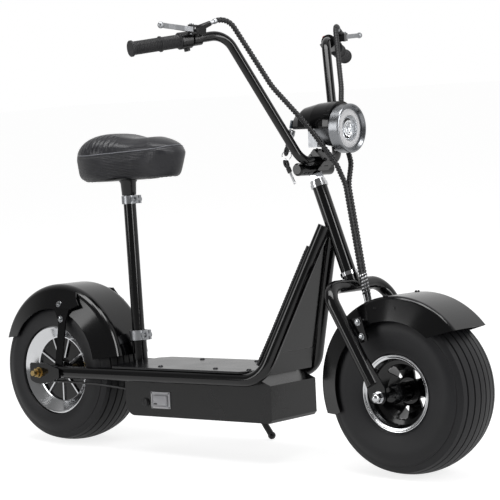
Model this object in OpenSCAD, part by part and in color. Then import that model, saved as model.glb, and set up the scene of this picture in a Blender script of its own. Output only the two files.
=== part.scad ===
/* [Stance] */
// Lean to the left on the side stand, degrees
lean = 4; // [3:0.5:6]
// Distance between the two axles
wheelbase = 1070; // [1020:5:1120]
// Upward slope of the deck towards the front, degrees
deck_pitch = 1.1; // [0:0.1:2]

/* [Tyres and wheels] */
// Outer diameter of both tyres
tyre_d = 381; // [370:1:392]
// Width of both tyres at the bulge
tyre_w = 160; // [150:1:164]
// Radius of the rounded crown across the tread
crown_r = 197; // [160:1:240]
// Diameter of the front rim lip
front_rim_d = 178; // [166:1:190]
// Width over the front rim lips
front_rim_w = 134; // [124:1:140]
// Diameter of the rear rim lip
rear_rim_d = 230; // [215:1:240]
// Width over the rear rim lips
rear_rim_w = 140; // [130:1:144]
// Diameter of the motor cover in the rear wheel
motor_d = 166; // [150:1:174]
// Number of ribs on each motor cover
motor_ribs = 9; // [6:1:12]
// Thickness of each rib
rib_t = 4; // [3:0.5:6]
// Diameter of the front hub
hub_d = 46; // [40:1:60]
// Width of the front hub
hub_w = 172; // [150:1:190]
// Number of windows in the front wheel disc
windows = 5; // [3:1:6]
// Diameter of both axles
axle_d = 14; // [10:0.5:16]

/* [Frame] */
// Diameter of the main frame tubes
tube_d = 32; // [28:0.5:34]
// Distance of each main tube from the middle, along the deck
tube_y = 106; // [104:0.5:112]
// Where the main tubes turn up at the front
tube_front = 716; // [690:2:730]
// Bend radius where the main tubes turn up
tube_bend = 70; // [60:1:90]
// Diameter of the head tube
head_d = 35; // [34:0.5:42]
// Bore of the head tube
head_bore = 29; // [27.5:0.5:30]
// Steering head angle from upright, degrees
rake = 20.9; // [19:0.1:23]
// Length of the head tube
head_len = 212; // [195:1:220]

/* [Deck and battery box] */
// Length of the deck plate
deck_l = 452; // [430:1:460]
// Half width of the deck plate
deck_hw = 114; // [108:1:120]
// Thickness of the deck plate
deck_t = 5; // [3:0.5:6]
// Front edge of the deck plate
deck_front = 674; // [660:1:680]
// Rear end of the battery box
box_rear = 262; // [250:1:280]
// Front end of the battery box
box_front = 730; // [715:1:736]
// Half width of the battery box
box_hw = 88; // [80:0.5:89]
// Depth of the battery box below the tubes' middle
box_depth = 104; // [90:1:110]

/* [Fork and front fender] */
// Diameter of the fork tube
fork_d = 31; // [28:0.5:32]
// Distance of each fork leg from the middle at the axle
fork_y = 123; // [120:0.5:128]
// Gap between the tyre and the fenders
fender_gap = 18; // [15:0.5:22]
// Thickness of the fender sheet
sheet_t = 2; // [1.5:0.1:3]
// Half width of the front fender
front_fender_hw = 90; // [86:0.5:94]
// Half width of the rear fender
rear_fender_hw = 90; // [86:0.5:94]
// Distance from the middle to the front fender's crease
front_crest = 60; // [50:1:64]
// Distance from the middle to the rear fender's rounded shoulder
rear_crest = 44; // [36:1:50]

/* [Handlebar] */
// Diameter of the handlebar
bar_d = 22.2; // [22:0.1:25.4]
// Half width of the handlebar to the ends of the grips
bar_hw = 404; // [380:1:420]
// Height of the handlebar's highest bend above the axles
bar_top = 818; // [800:1:840]
// Diameter of the grips
grip_d = 31; // [29:0.5:34]
// Length of the grips
grip_l = 118; // [105:1:125]
// Diameter of the headlight ring
lamp_d = 114; // [105:1:125]

/* [Seat] */
// Diameter of the seat post
post_d = 28.6; // [27:0.1:28.8]
// Outer diameter of the fixed seat tube
seat_tube_d = 31.8; // [31:0.1:34]
// Length of the saddle
saddle_l = 326; // [310:1:350]
// Width of the saddle
saddle_w = 216; // [200:1:230]
// Thickness of the saddle padding at the rear
saddle_t = 118; // [105:1:125]
// Distance from the seat post back to the rear of the saddle
saddle_back = 139; // [125:1:150]

/* [Side stand] */
// Diameter of the stand leg
stand_d = 16; // [13:0.5:18]
// Where the stand hinges along the frame
stand_x = 480; // [440:5:520]
// Spread of the stand from upright, degrees
stand_spread = 24; // [20:1:28]
// Forward slope of the lowered stand, degrees
stand_forward = 16; // [12:1:22]

/* [Hidden] */
$fn = 64;
tyre_r = tyre_d / 2;
x_mid = (wheelbase + tyre_r - tyre_r - 8) / 2;
y_mid = (bar_top - 26 + tyre_r) * sin(lean);
z_lift = crown_r * (1 - cos(lean));
clear = 0.3;
seam = 0.04;
fender_r = tyre_r + fender_gap;
steer = [-sin(rake), 0, cos(rake)];
head_low = [wheelbase - 167, 0, 267];
head_high = head_low + head_len * steer;
deck_top = tube_d / 2 + deck_t;
post_lean = 1.5;
post_foot = [238, 0, deck_top];
stand_r = stand_d / 2;

// Everything is drawn upright from the middle of the rear axle,
// then set down on the floor and leaned on its stand
module place() {
    translate([-x_mid, -y_mid, z_lift])
        rotate([-lean, 0, 0])
            translate([0, 0, tyre_r]) children();
}

// What lies along the deck follows its slope
module on_deck() {
    rotate([0, -deck_pitch, 0]) children();
}

module both_sides() {
    children();
    mirror([0, 1, 0]) children();
}

function unit(v) = v / norm(v);
function turn(u, v) = acos(max(-1, min(1, u * v)));
function reach(u, v, r) = r * tan(turn(u, v) / 2);
function arc(cx, cy, r, a0, a1, n) =
    [for (i = [0:n]) let (a = a0 + (a1 - a0) * i / n) [cx + r * cos(a), cy + r * sin(a)]];

// Round bar from one point to another
module rod(a, b, r, r2 = undef) {
    d = b - a;
    translate(a)
        rotate([0, acos(d[2] / norm(d)), atan2(d[1], d[0])])
            cylinder(h = norm(d), r1 = r, r2 = r2 == undef ? r : r2);
}

// Tube through corner points, with a true bend at each inner corner:
// the bend runs 1 mm into the straights and is finer by the seam
module bent_tube(pts, bends, r) {
    n = len(pts);
    dirs = [for (i = [0:n - 2]) unit(pts[i + 1] - pts[i])];
    cut = [for (i = [0:n - 1])
        i == 0 || i == n - 1 ? 0 : reach(dirs[i - 1], dirs[i], bends[i - 1])];
    for (i = [0:n - 2])
        rod(pts[i] + cut[i] * dirs[i], pts[i + 1] - cut[i + 1] * dirs[i], r);
    for (i = [1:n - 2]) {
        u = dirs[i - 1];
        v = dirs[i];
        a = turn(u, v);
        b = bends[i - 1];
        in = unit(v - (u * v) * u);
        c = pts[i] - cut[i] * u + b * in;
        z = cross(-in, u);
        multmatrix([
            [-in[0], u[0], z[0], c[0]],
            [-in[1], u[1], z[1], c[1]],
            [-in[2], u[2], z[2], c[2]],
            [0, 0, 0, 1]])
            rotate([0, 0, -57.3 / b])
                rotate_extrude(angle = a + 114.6 / b) translate([b, 0]) circle(r - seam);
    }
}

// Sweep of a (width, radius) outline about a wheel's axle,
// from angle a0 to a1 measured up from straight ahead
module around_wheel(x, z, a0, a1) {
    translate([x, 0, z])
        rotate([90, 0, 0])
            rotate([0, 0, a0])
                rotate_extrude(angle = a1 - a0) children();
}

// Full turn about a wheel's axle
module wheel_turn(x) {
    translate([x, 0, 0]) rotate([90, 0, 0]) rotate_extrude($fn = 96) children();
}

// Main tubes and head
head_join = head_low + 0.5 * head_len * steer;
bend_at = [tube_front, -tube_y, tube_front * tan(deck_pitch)];
tube_end = [-22, -tube_y, -22 * tan(deck_pitch)];
tube_top = head_join - [17, 14, -8];
rise = tube_top - bend_at;

module main_tube() {
    difference() {
        bent_tube([tube_end, bend_at, tube_top], [tube_bend], tube_d / 2);
        rod(head_low, head_high, head_d / 2 + clear / 3);
        translate([head_join[0] - 60, -clear / 2, head_join[2] - 200]) cube([120, 60, 400]);
        rotate([90, 0, 0]) cylinder(h = 300, r = axle_d / 2 + 0.1);
    }
}

module frame_tube_right() {
    color("black") place() main_tube();
}

module frame_tube_left() {
    color("black") place() mirror([0, 1, 0]) main_tube();
}

module head_tube() {
    color("black") place() difference() {
        rod(head_low, head_high, head_d / 2);
        rod(head_low - steer, head_high + steer, head_bore / 2);
    }
}

// Cups pressed on both ends of the head tube
module headset() {
    color("silver") place() difference() {
        union() {
            rod(head_low - 9 * steer, head_low - 0.1 * steer, head_d / 2 + 3.5);
            rod(head_high + 0.1 * steer, head_high + 9 * steer, head_d / 2 + 3);
        }
        rod(head_low - 20 * steer, head_high + 20 * steer, head_bore / 2 - 0.5);
    }
}

// Sheet panel that fills the triangle between the rising tubes,
// in the plane of their axes
panel_z0 = 78;
panel_z1 = 336;
function tube_at(z) = bend_at + rise * (z - bend_at[2]) / rise[2];
panel_slope = atan2(rise[0], rise[2]);
panel_spread = atan2(rise[1], norm([rise[0], rise[2]]));
function panel_half(z) = -tube_at(z)[1] - (tube_d / 2 + clear / 3) / cos(panel_spread);

module web_panel(z0, z1, t, inset) {
    low = tube_at(z0);
    a = panel_half(z0) - inset;
    b = panel_half(z1);
    long = (z1 - z0) / cos(panel_slope);
    translate([low[0], 0, low[2]])
        rotate([0, panel_slope, 0])
            rotate([90, 0, 90]) linear_extrude(t, center = true)
                polygon([[-a, 0], [a, 0], [b, long], [-b, long]]);
}

module front_panel() {
    color("black") place() web_panel(panel_z0, panel_z1, 3, 0);
}

// Cross tubes under the deck and the plate at the foot of the panel
module cross_members() {
    color("black") place() {
        on_deck() {
            for (x = [236, deck_front - 14])
                translate([x, 0, 0])
                    rotate([90, 0, 0])
                        cylinder(h = 2 * tube_y - tube_d - 0.4, r = 11, center = true);
        }
        web_panel(26, panel_z0 - 1, 4, 3);
    }
}

// Deck and battery box
module battery_box() {
    color("black") place() on_deck() difference() {
        translate([box_rear, 0, 0])
            rotate([90, 0, 0])
                linear_extrude(2 * box_hw, center = true)
                    polygon([
                        [0, 10], [0, 18 - box_depth], [14, 4 - box_depth], [24, -box_depth],
                        [box_front - box_rear - 8, -box_depth],
                        [box_front - box_rear, 8 - box_depth],
                        [box_front - box_rear, -14], [box_front - box_rear - 60, 10]]);
        translate([deck_front - 14, 0, 0])
            rotate([90, 0, 0])
                cylinder(h = 3 * tube_y, r = 11 + clear, center = true);
        translate([wheelbase, 0, 0]) rotate([90, 0, 0])
            cylinder(h = 3 * tube_y, r = tyre_r + fender_gap, center = true);
    }
}

module deck_plate() {
    color("dimgray") place() on_deck() difference() {
        translate([deck_front - deck_l, 0, tube_d / 2 + clear / 3])
            linear_extrude(deck_t - clear / 3)
                polygon([
                    [0, -deck_hw + 26], [22, -deck_hw], [deck_l - 18, -deck_hw], [deck_l, -deck_hw + 18],
                    [deck_l, deck_hw - 18], [deck_l - 18, deck_hw], [22, deck_hw], [0, deck_hw - 26]]);
        translate(post_foot)
            cylinder(h = 60, r = seat_tube_d / 2 + 3.5, center = true);
        rotate([90, 0, 0]) cylinder(h = tyre_w + 2 * fender_gap, r = tyre_r + fender_gap, center = true);
    }
}

module deck_bolts() {
    color("silver") place() on_deck()
        for (x = [378, 556, deck_front - 14], s = [-1, 1])
            translate([x, s * 80, deck_top]) cylinder(h = 3, r1 = 7, r2 = 4.5);
}

// Rear end
dropout_y = tube_y + tube_d / 2 + clear;
dropout_t = 8;
module rear_dropouts() {
    color("black") place() both_sides() difference() {
        translate([0, -dropout_y, 0])
            rotate([90, 0, 0])
                linear_extrude(dropout_t)
                    polygon([
                        [-34, -18], [-28, -24], [-12, -29], [18, -29], [70, -12], [70, 12],
                        [22, 24], [-30, 24], [-34, 20]]);
        rotate([90, 0, 0]) cylinder(h = 400, r = axle_d / 2, center = true);
    }
}

// Ends of the axle, each with a washer and a nut outside the dropout
axle_out = 25;
module axle_ends(face) {
    for (s = [-1, 1]) {
        translate([0, 0, s > 0 ? face : -face - 2.4]) cylinder(h = 2.4, r = axle_d / 2 + 6.5);
        translate([0, 0, s > 0 ? face + 2.4 : -face - 12.4]) cylinder(h = 10, r = axle_d / 2 + 5, $fn = 6);
    }
}

module rear_axle() {
    face = dropout_y + dropout_t;
    color("goldenrod") place() rotate([90, 0, 0]) {
        cylinder(h = 2 * (face + axle_out), r = axle_d / 2, center = true);
        axle_ends(face);
    }
}

// Cross section of a fender: crown, rounded edges and side flanges,
// drawn as (radius, distance from the middle)
module fender_outline(r, crest, slope, edge, hw, t) {
    outer = arc(r - edge, crest, edge, 0, 90 - slope, 8);
    inner = arc(r - edge, crest, edge - t, 0, 90 - slope, 8);
    run = (hw - crest - edge * cos(slope)) / sin(slope);
    fall = run * [-cos(slope), sin(slope)];
    n = len(outer);
    out = concat(outer, [outer[n - 1] + fall]);
    inn = concat(inner, [inner[n - 1] + fall]);
    polygon(concat(
        [for (i = [0:n]) [out[n - i][0], -out[n - i][1]]],
        out,
        [for (i = [0:n]) inn[n - i]],
        [for (i = [0:n]) [inn[i][0], -inn[i][1]]]));
}

rear_arch_x = 8;
rear_arch_z = 15;
flange_slope = 26;
shoulder = 26;
module rear_arch(grow) {
    around_wheel(rear_arch_x, rear_arch_z, 8, 163)
        fender_outline(fender_r + grow, rear_crest, flange_slope, shoulder,
            rear_fender_hw + grow, sheet_t + 4 * grow);
}

module rear_fender() {
    color("black") place() difference() {
        rear_arch(0);
        translate([rear_arch_x - fender_r * cos(17) + 6, -150, rear_arch_z + fender_r * sin(17)])
            rotate([0, -8, 0])
                translate([-80, 0, -80]) cube([160, 300, 80]);
    }
}

// Each strut stands on the main tube and bends in to lie on the fender's flange
flange_run = (rear_fender_hw - rear_crest - shoulder * cos(flange_slope)) / sin(flange_slope);
flange_r = fender_r - shoulder * (1 - sin(flange_slope)) - flange_run * cos(flange_slope);
strut_foot = tube_d / 2 + 1;
strut_h = rear_arch_z + flange_r - strut_foot;
strut_in = atan2(tube_y - 2 - rear_fender_hw + 1.2, strut_h);
module fender_struts() {
    color("black") place() both_sides() difference() {
        translate([0, -tube_y + 2, strut_foot]) rotate([-strut_in, 0, 0]) {
            rotate([90, 0, 0]) linear_extrude(4)
                polygon([[36, 0], [60, 0], [67, strut_h * 0.8], [78, strut_h], [26, strut_h], [42, strut_h * 0.76]]);
            translate([0, 0, strut_h]) rotate([strut_in - flange_slope, 0, 0])
                rotate([90, 0, 0]) linear_extrude(4)
                    polygon([[26, -1], [78, -1], [106, 12], [92, 28], [84, 48], [18, 48], [22, 24]]);
        }
        rear_arch(clear);
        on_deck() translate([-22, -tube_y, 0]) rotate([0, 90, 0])
            cylinder(h = 200, r = tube_d / 2 + clear);
    }
}

seat_tube_top = 426;
module seat_tube() {
    color("black") place() on_deck() translate(post_foot) rotate([0, -post_lean, 0]) difference() {
        union() {
            cylinder(h = seat_tube_top, r = seat_tube_d / 2);
            translate([0, 0, -deck_t]) cylinder(h = 74, r = seat_tube_d / 2 + 3);
        }
        translate([0, 0, 40]) cylinder(h = seat_tube_top, r = post_d / 2 + clear / 3);
    }
}

module pinch_clamp(z, h, r, wall, lug) {
    translate([0, 0, z]) difference() {
        union() {
            cylinder(h = h, r = r + wall);
            translate([0, -9, 0]) cube([r + wall + lug, 18, h]);
            translate([r + wall + lug / 2 - 1, 0, h / 2]) rotate([90, 0, 0]) {
                cylinder(h = 30, r = 3, center = true);
                translate([0, 0, 9]) cylinder(h = 6, r = 6, $fn = 6);
                translate([0, 0, -13]) cylinder(h = 4, r = 6.5);
            }
        }
        translate([0, 0, -1]) cylinder(h = h + 2, r = r + clear / 3);
        translate([0, -1.5, -1]) cube([r + wall + lug + 1, 3, h / 2 - 2.2]);
        translate([0, -1.5, h / 2 + 3.2]) cube([r + wall + lug + 1, 3, h]);
    }
}

module seat_tube_clamp() {
    color("silver") place() on_deck() translate(post_foot) rotate([0, -post_lean, 0]) {
        pinch_clamp(seat_tube_top - 21, 21, seat_tube_d / 2, 4, 13);
        pinch_clamp(56, 25, seat_tube_d / 2 + 3, 4.5, 12);
    }
}

module power_switch() {
    color("gainsboro") place() on_deck() translate([box_rear + 119, -box_hw, -62]) {
        translate([0, -1.5, 0]) cube([62, 3, 41], center = true);
        translate([-3, -5, 0]) cube([42, 7, 29], center = true);
    }
}

module charge_socket() {
    color("dimgray") place() on_deck() translate([box_rear + 69, -box_hw, -69]) rotate([90, 0, 0]) {
        cylinder(h = 3, r = 11);
        cylinder(h = 6, r = 8);
    }
}

// Side stand, hinged on a lug under the left main tube
stand_pivot = [stand_x, tube_y + 7, -50];
foot_r = 10;
stand_dir = [sin(stand_forward), sin(stand_spread) * cos(stand_forward),
    -cos(stand_spread) * cos(stand_forward)];

// Height above the floor of a point on the deck's slope, once leaned
function deck_up(p) = [
    p[0] * cos(deck_pitch) - p[2] * sin(deck_pitch), p[1],
    p[0] * sin(deck_pitch) + p[2] * cos(deck_pitch)];
function above_floor(p) =
    let (q = deck_up(p)) -q[1] * sin(lean) + (q[2] + tyre_r) * cos(lean) + z_lift;
stand_drop = above_floor([0, 0, 0]) - above_floor(stand_dir);
stand_len = (above_floor(stand_pivot) - foot_r) / stand_drop;

module at_stand() {
    place() on_deck() translate(stand_pivot) rotate([stand_spread, 0, 0]) children();
}

module stand_bracket() {
    color("black") {
        place() on_deck() difference() {
            translate([stand_x, tube_y - 5, 0])
                rotate([90, 0, 0])
                    linear_extrude(6)
                        polygon([[-30, -4], [30, -4], [12, -62], [-12, -62]]);
            translate([stand_x - 60, tube_y, 0]) rotate([0, 90, 0])
                cylinder(h = 120, r = tube_d / 2 + clear / 3);
            translate(stand_pivot) rotate([stand_spread, 0, 0]) rotate([90, 0, 0])
                translate([0, 0, -20]) cylinder(h = 20 + stand_d / 2 + 1.2, r = 13);
        }
        at_stand() rotate([90, 0, 0]) {
            translate([0, 0, stand_d / 2 + 1.3]) cylinder(h = 8, r = 12);
            translate([0, 0, -stand_d / 2 - 2]) cylinder(h = stand_d + 4, r = 5);
            translate([0, 0, -stand_d / 2 - 6]) cylinder(h = 4.7, r = 9, $fn = 6);
        }
    }
}

module side_stand() {
    color("black") at_stand() {
        difference() {
            union() {
                rotate([90, 0, 0]) cylinder(h = stand_d + 2, r = 12, center = true);
                rotate([0, -stand_forward, 0]) translate([0, 0, -stand_len])
                    cylinder(h = stand_len, r = stand_d / 2);
            }
            rotate([90, 0, 0]) cylinder(h = 30, r = 5.2, center = true);
        }
        rotate([0, -stand_forward, 0]) translate([0, 0, -stand_len]) sphere(foot_r);
    }
}

module frame_harness() {
    color("black") place() {
        bent_tube([
            tube_at(44) + [-25, 0, 5], tube_at(120) + [-22, 0, 6], tube_at(320) + [-20, 0, 8]],
            [400], 4);
        bent_tube([
            [14, 6 - dropout_y, -22], [170, 8 - tube_y, -24], [box_rear, 10 - box_hw, -34]],
            [300], 3);
    }
}

// Wheels
function tyre_side(rim_r, rim_w, lip) = [
    [tyre_w / 2 - 9, tyre_r - 27],
    [tyre_w / 2 - 2, tyre_r - 38],
    [tyre_w / 2, tyre_r - 50],
    [tyre_w / 2 - 3, tyre_r - 66],
    [rim_w / 2 + 3, rim_r + lip]];

module tyre_outline(rim_d, rim_w) {
    rim_r = rim_d / 2;
    top = arc(0, tyre_r - crown_r, crown_r, 90, 90 - asin((tyre_w / 2 - 15) / crown_r), 8);
    side = concat(
        [for (p = top) p],
        tyre_side(rim_r, rim_w, 4),
        [[rim_w / 2 - 2.6, rim_r + 2 * clear],
         [rim_w / 2 - 8.4, rim_r - 7.6],
         [rim_w / 2 - 13.6, rim_r - 12 + clear]]);
    n = len(side);
    polygon(concat(
        [for (p = side) [p[1], p[0]]],
        [for (i = [0:n - 1]) [side[n - 1 - i][1], -side[n - 1 - i][0]]]));
}

module rear_tyre() {
    color("dimgray") place() wheel_turn(0) tyre_outline(rear_rim_d, rear_rim_w);
}

module front_tyre() {
    color("dimgray") place() wheel_turn(wheelbase) tyre_outline(front_rim_d, front_rim_w);
}

// Rim barrel with a rolled lip each side
module rim_outline(rim_r, w, wall) {
    half = [
        [rim_r, w / 2],
        [rim_r, w / 2 - 3],
        [rim_r - 9 - clear, w / 2 - 9],
        [rim_r - 12 - clear, w / 2 - 14],
        [rim_r - 12 - clear, 0]];
    n = len(half);
    inner = [[rim_r - 12 - wall, w / 2 - 12], [rim_r - 5, w / 2]];
    polygon(concat(
        half,
        [for (i = [1:n - 1]) [half[n - 1 - i][0], -half[n - 1 - i][1]]],
        [[rim_r - 5, -w / 2], [rim_r - 12 - wall, -w / 2 + 12]],
        inner));
}

module rear_rim() {
    w = rear_rim_w;
    r = rear_rim_d / 2;
    m = motor_d / 2;
    face = w / 2 - 29;
    color("silver") place() {
        wheel_turn(0) polygon([
            [r, w / 2], [r, w / 2 - 3], [r - 9 - clear, w / 2 - 9], [r - 12 - clear, w / 2 - 14],
            [r - 12 - clear, -w / 2 + 14], [r - 9 - clear, -w / 2 + 9], [r, -w / 2 + 3], [r, -w / 2],
            [r - 4, -w / 2 - 0.4], [r - 7, -w / 2 + 2], [r - 18, -w / 2 + 12], [m + 3, -w / 2 + 22],
            [m + clear / 3, -w / 2 + 23], [m + clear / 3, w / 2 - 23],
            [m + 3, w / 2 - 22], [r - 18, w / 2 - 12], [r - 7, w / 2 - 2], [r - 4, w / 2 + 0.4]]);
        for (i = [0:motor_ribs - 1], s = [0, 1])
            rotate([0, i * 360 / motor_ribs + 9, 0]) mirror([0, s, 0])
                translate([31, face + clear / 3, -rib_t / 2]) cube([m - 28, 5, rib_t]);
    }
}

module rear_motor() {
    r = motor_d / 2;
    face = rear_rim_w / 2 - 29;
    color("black") place() wheel_turn(0) polygon([
        [axle_d / 2 + clear, -face - 15], [19, -face - 15], [22, -face - 12], [24, -face - 4],
        [29, -face], [r, -face], [r, face], [29, face],
        [24, face + 4], [22, face + 12], [19, face + 15], [axle_d / 2 + clear, face + 15]]);
}

module front_rim() {
    color("silver") place() wheel_turn(wheelbase) rim_outline(front_rim_d / 2, front_rim_w, 3);
}

module front_disc() {
    r = front_rim_d / 2 - 12.3 - 3 - clear;
    h = hub_d / 2 + 0.1;
    color("black") place() difference() {
        wheel_turn(wheelbase) polygon([
            [h, 8], [h + 8, 8], [r - 22, 20], [r - 8, 34], [r, 38], [r, 42], [r - 9, 38],
            [r - 24, 24], [h + 7, 12], [h, 12]]);
        translate([wheelbase, 0, 0]) rotate([90, 0, 0])
            for (i = [0:windows - 1])
                rotate([0, 0, 50 + i * 360 / windows])
                    translate([0, 0, -80])
                        linear_extrude(160) polygon([
                            [hub_d / 2 + 11, -4], [r - 16, -13], [r - 12.5, -10], [r - 11.5, 0],
                            [r - 12.5, 10], [r - 16, 13], [hub_d / 2 + 11, 4]]);
    }
}

module front_hub() {
    color("black") place() wheel_turn(wheelbase) polygon([
        [axle_d / 2 + clear, -hub_w / 2], [hub_d / 2 - 6, -hub_w / 2], [hub_d / 2, -hub_w / 2 + 16],
        [hub_d / 2, hub_w / 2 - 16], [hub_d / 2 - 6, hub_w / 2], [axle_d / 2 + clear, hub_w / 2]]);
}

// Fork: one tube bent to a U over the tyre, on the steering column
leg_foot = [wheelbase - 3, -fork_y - 4, 4];
fork_top = [wheelbase - 152, -fork_y + 10, 237];
leg_end = leg_foot + 26 * unit(fork_top - leg_foot);

module fork() {
    color("black") place() difference() {
        union() {
            bent_tube([
                leg_end, fork_top, [fork_top[0], -fork_top[1], fork_top[2]],
                [leg_end[0], -leg_end[1], leg_end[2]]], [48, 48], fork_d / 2);
            rod(head_low - 42 * steer, head_low - 9.3 * steer, 19);
            rod(head_low - 12 * steer, head_high + 34 * steer, head_bore / 2 - 1);
            both_sides() translate([wheelbase, -fork_y - 1, 0]) rotate([90, 0, 0])
                linear_extrude(6)
                    polygon([[-24, -8], [-12, -15], [10, -15], [18, -5], [15, 22], [-30, 84], [-46, 56]]);
        }
        translate([wheelbase, 0, 0]) rotate([90, 0, 0])
            cylinder(h = 400, r = axle_d / 2, center = true);
        both_sides() translate([wheelbase, -hub_w / 2 - clear, 0])
            rotate([-90, 0, 0]) cylinder(h = 60, r = 40);
    }
}

module front_axle() {
    face = fork_y + 7;
    color("silver") place() translate([wheelbase, 0, 0]) rotate([90, 0, 0]) {
        cylinder(h = 2 * face + 14, r = axle_d / 2, center = true);
        axle_ends(face);
        for (s = [-1, 1]) translate([0, 0, s * (face + 12)]) sphere(axle_d / 2 + 3);
    }
}

module front_fender() {
    color("black") place() difference() {
        around_wheel(wheelbase + 4, 12, 40, 203)
            fender_outline(fender_r, front_crest, 22, 12, front_fender_hw, sheet_t);
        translate([wheelbase + 4 + fender_r * cos(41), -150, 12 + fender_r * sin(41)])
            rotate([0, -16, 0])
                translate([-80, 0, -80]) cube([160, 300, 80]);
        translate([wheelbase - fender_r - 20, -150, 12 - fender_r * sin(19) - 60]) cube([120, 300, 60]);
    }
}

function leg_x(z) = leg_foot[0] + (fork_top[0] - leg_foot[0]) * (z - leg_foot[2]) / (fork_top[2] - leg_foot[2]);

// Tabs on the fork legs with two spacers each that hold the fender
module fender_brackets() {
    color("black") place() both_sides() {
        translate([0, -front_fender_hw - 17, 0]) rotate([90, 0, 0])
            linear_extrude(4)
                polygon([
                    [leg_x(168) + 16.5, 168], [leg_x(168) + 50, 176],
                    [leg_x(116) + 34, 122], [leg_x(116) + 16.5, 116]]);
        for (p = [[leg_x(163) + 37.7, 163], [leg_x(129) + 25, 129]])
            translate([p[0], -front_fender_hw - clear / 2, p[1]]) rotate([90, 0, 0])
                cylinder(h = 17, r = 6);
    }
}

// Stem: a cross tube on the steering column that carries the bar
stem_at = head_high + 46 * steer;
stem_r = 15;
bar_at = stem_at + (stem_r + bar_d / 2 + clear / 3) * [0.707, 0, 0.707];

module fork_stem() {
    color("black") place() difference() {
        union() {
            rod(head_high + 34.1 * steer, stem_at, head_bore / 2 + 1.5);
            translate(stem_at) rotate([90, 0, 0]) cylinder(h = 124, r = stem_r, center = true);
            both_sides() translate(stem_at - [0, 62, 0]) rotate([90, 0, 0])
                cylinder(h = 4, r1 = stem_r, r2 = stem_r - 4);
        }
        rod(head_high, head_high + 34.1 * steer, head_bore / 2);
    }
}

module head_nuts() {
    color("silver") place() difference() {
        union() {
            rod(head_high + 9.4 * steer, head_high + 17 * steer, head_d / 2 + 1);
            rod(head_high + 17 * steer, head_high + 19 * steer, head_d / 2 - 1);
            rod(head_high + 19 * steer, head_high + 31 * steer, head_d / 2 + 1, $fn = 6);
        }
        rod(head_high, head_high + 40 * steer, head_bore / 2 - 0.9);
    }
}

// Split clamp: a saddle on the stem and a cap held by four screws
module bar_clamp() {
    color("black") place() translate(bar_at) rotate([0, 45, 0]) difference() {
        union() {
            translate([0, 0, 4]) cube([42, 44, 30], center = true);
            for (x = [-16, 16], y = [-14, 14])
                translate([x, y, -8]) cylinder(h = 31, r = 4);
        }
        rotate([90, 0, 0]) cylinder(h = 100, r = bar_d / 2 + 0.1, center = true);
        for (y = [-40, -8, 18])
            translate([-30, y, 3]) cube([60, y == -8 ? 16 : 22, 2]);
        translate([0, 0, -bar_d / 2 - stem_r]) rotate([90, 0, 0])
            cylinder(h = 100, r = stem_r + clear, center = true);
    }
}

bar_low = [bar_at[0], -70, bar_at[2]];
bar_high = [wheelbase - 357, 210 - bar_hw, bar_top + 6];
bar_end = [wheelbase - 452, -bar_hw, bar_top - 26];

module handlebar() {
    color("black") place()
        bent_tube([
            bar_end, bar_high, bar_low, [bar_low[0], -bar_low[1], bar_low[2]],
            [bar_high[0], -bar_high[1], bar_high[2]], [bar_end[0], -bar_end[1], bar_end[2]]],
            [50, 42, 42, 50], bar_d / 2);
}

grip_dir = unit(bar_end - bar_high);
module grip(l) {
    a = bar_end - l * grip_dir;
    b = bar_end + 6 * grip_dir;
    joint = bar_end - 68 * grip_dir;
    difference() {
        union() {
            rod(a, b, grip_d / 2);
            rod(a, a + 4 * grip_dir, grip_d / 2 + 4);
            rod(joint, joint + 4 * grip_dir, grip_d / 2 + 2.5);
            rod(b - 6 * grip_dir, b, grip_d / 2 + 3);
        }
        rod(a - grip_dir, bar_end + 0.2 * grip_dir, bar_d / 2 + 0.1);
    }
}

// Forward and upward directions at the grips
bar_fwd = unit([-grip_dir[1], grip_dir[0], 0]);
bar_up = cross(grip_dir, bar_fwd);
function at_bar(s, f, u) = bar_end - s * grip_dir + f * bar_fwd + u * bar_up;

module throttle_grip() {
    color("dimgray") place() grip(grip_l);
}

module left_grip() {
    color("dimgray") place() mirror([0, 1, 0]) grip(grip_l);
}

// Brake levers: the pivot sits ahead of and above the bar
pivot_s = grip_l + 20;
lever_pivot = [28, 22];
lever_tilt = 13;
lever_h = 11;
module at_lever() {
    o = at_bar(pivot_s, lever_pivot[0], lever_pivot[1]);
    multmatrix([
        [grip_dir[0], bar_fwd[0], bar_up[0], o[0]],
        [grip_dir[1], bar_fwd[1], bar_up[1], o[1]],
        [grip_dir[2], bar_fwd[2], bar_up[2], o[2]],
        [0, 0, 0, 1]])
        rotate([0, -lever_tilt, 0]) children();
}

module brake_perches() {
    color("dimgray") place() both_sides() difference() {
        union() {
            rod(at_bar(pivot_s + 12, 0, 0), at_bar(pivot_s + 32, 0, 0), bar_d / 2 + 5);
            rod(at_bar(pivot_s + 20, 8, 7), at_bar(pivot_s + 14, 26, 19), 8.5);
            rod(at_bar(pivot_s + 10, 27, 19), at_bar(pivot_s + 50, 25, 29), 8.5, 6);
            at_lever() linear_extrude(lever_h + 9, center = true)
                polygon([[-34, -8], [-34, 7], [-8, 10], [4, 8], [9, 2], [7, -6], [0, -10]]);
        }
        rod(at_bar(pivot_s, 0, 0), at_bar(pivot_s + 50, 0, 0), bar_d / 2 + 0.1);
        at_lever() {
            translate([-15, -14, -lever_h / 2 - 0.4]) cube([40, 30, lever_h + 0.8]);
            cylinder(h = 40, r = 3.2, center = true);
        }
    }
}

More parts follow.
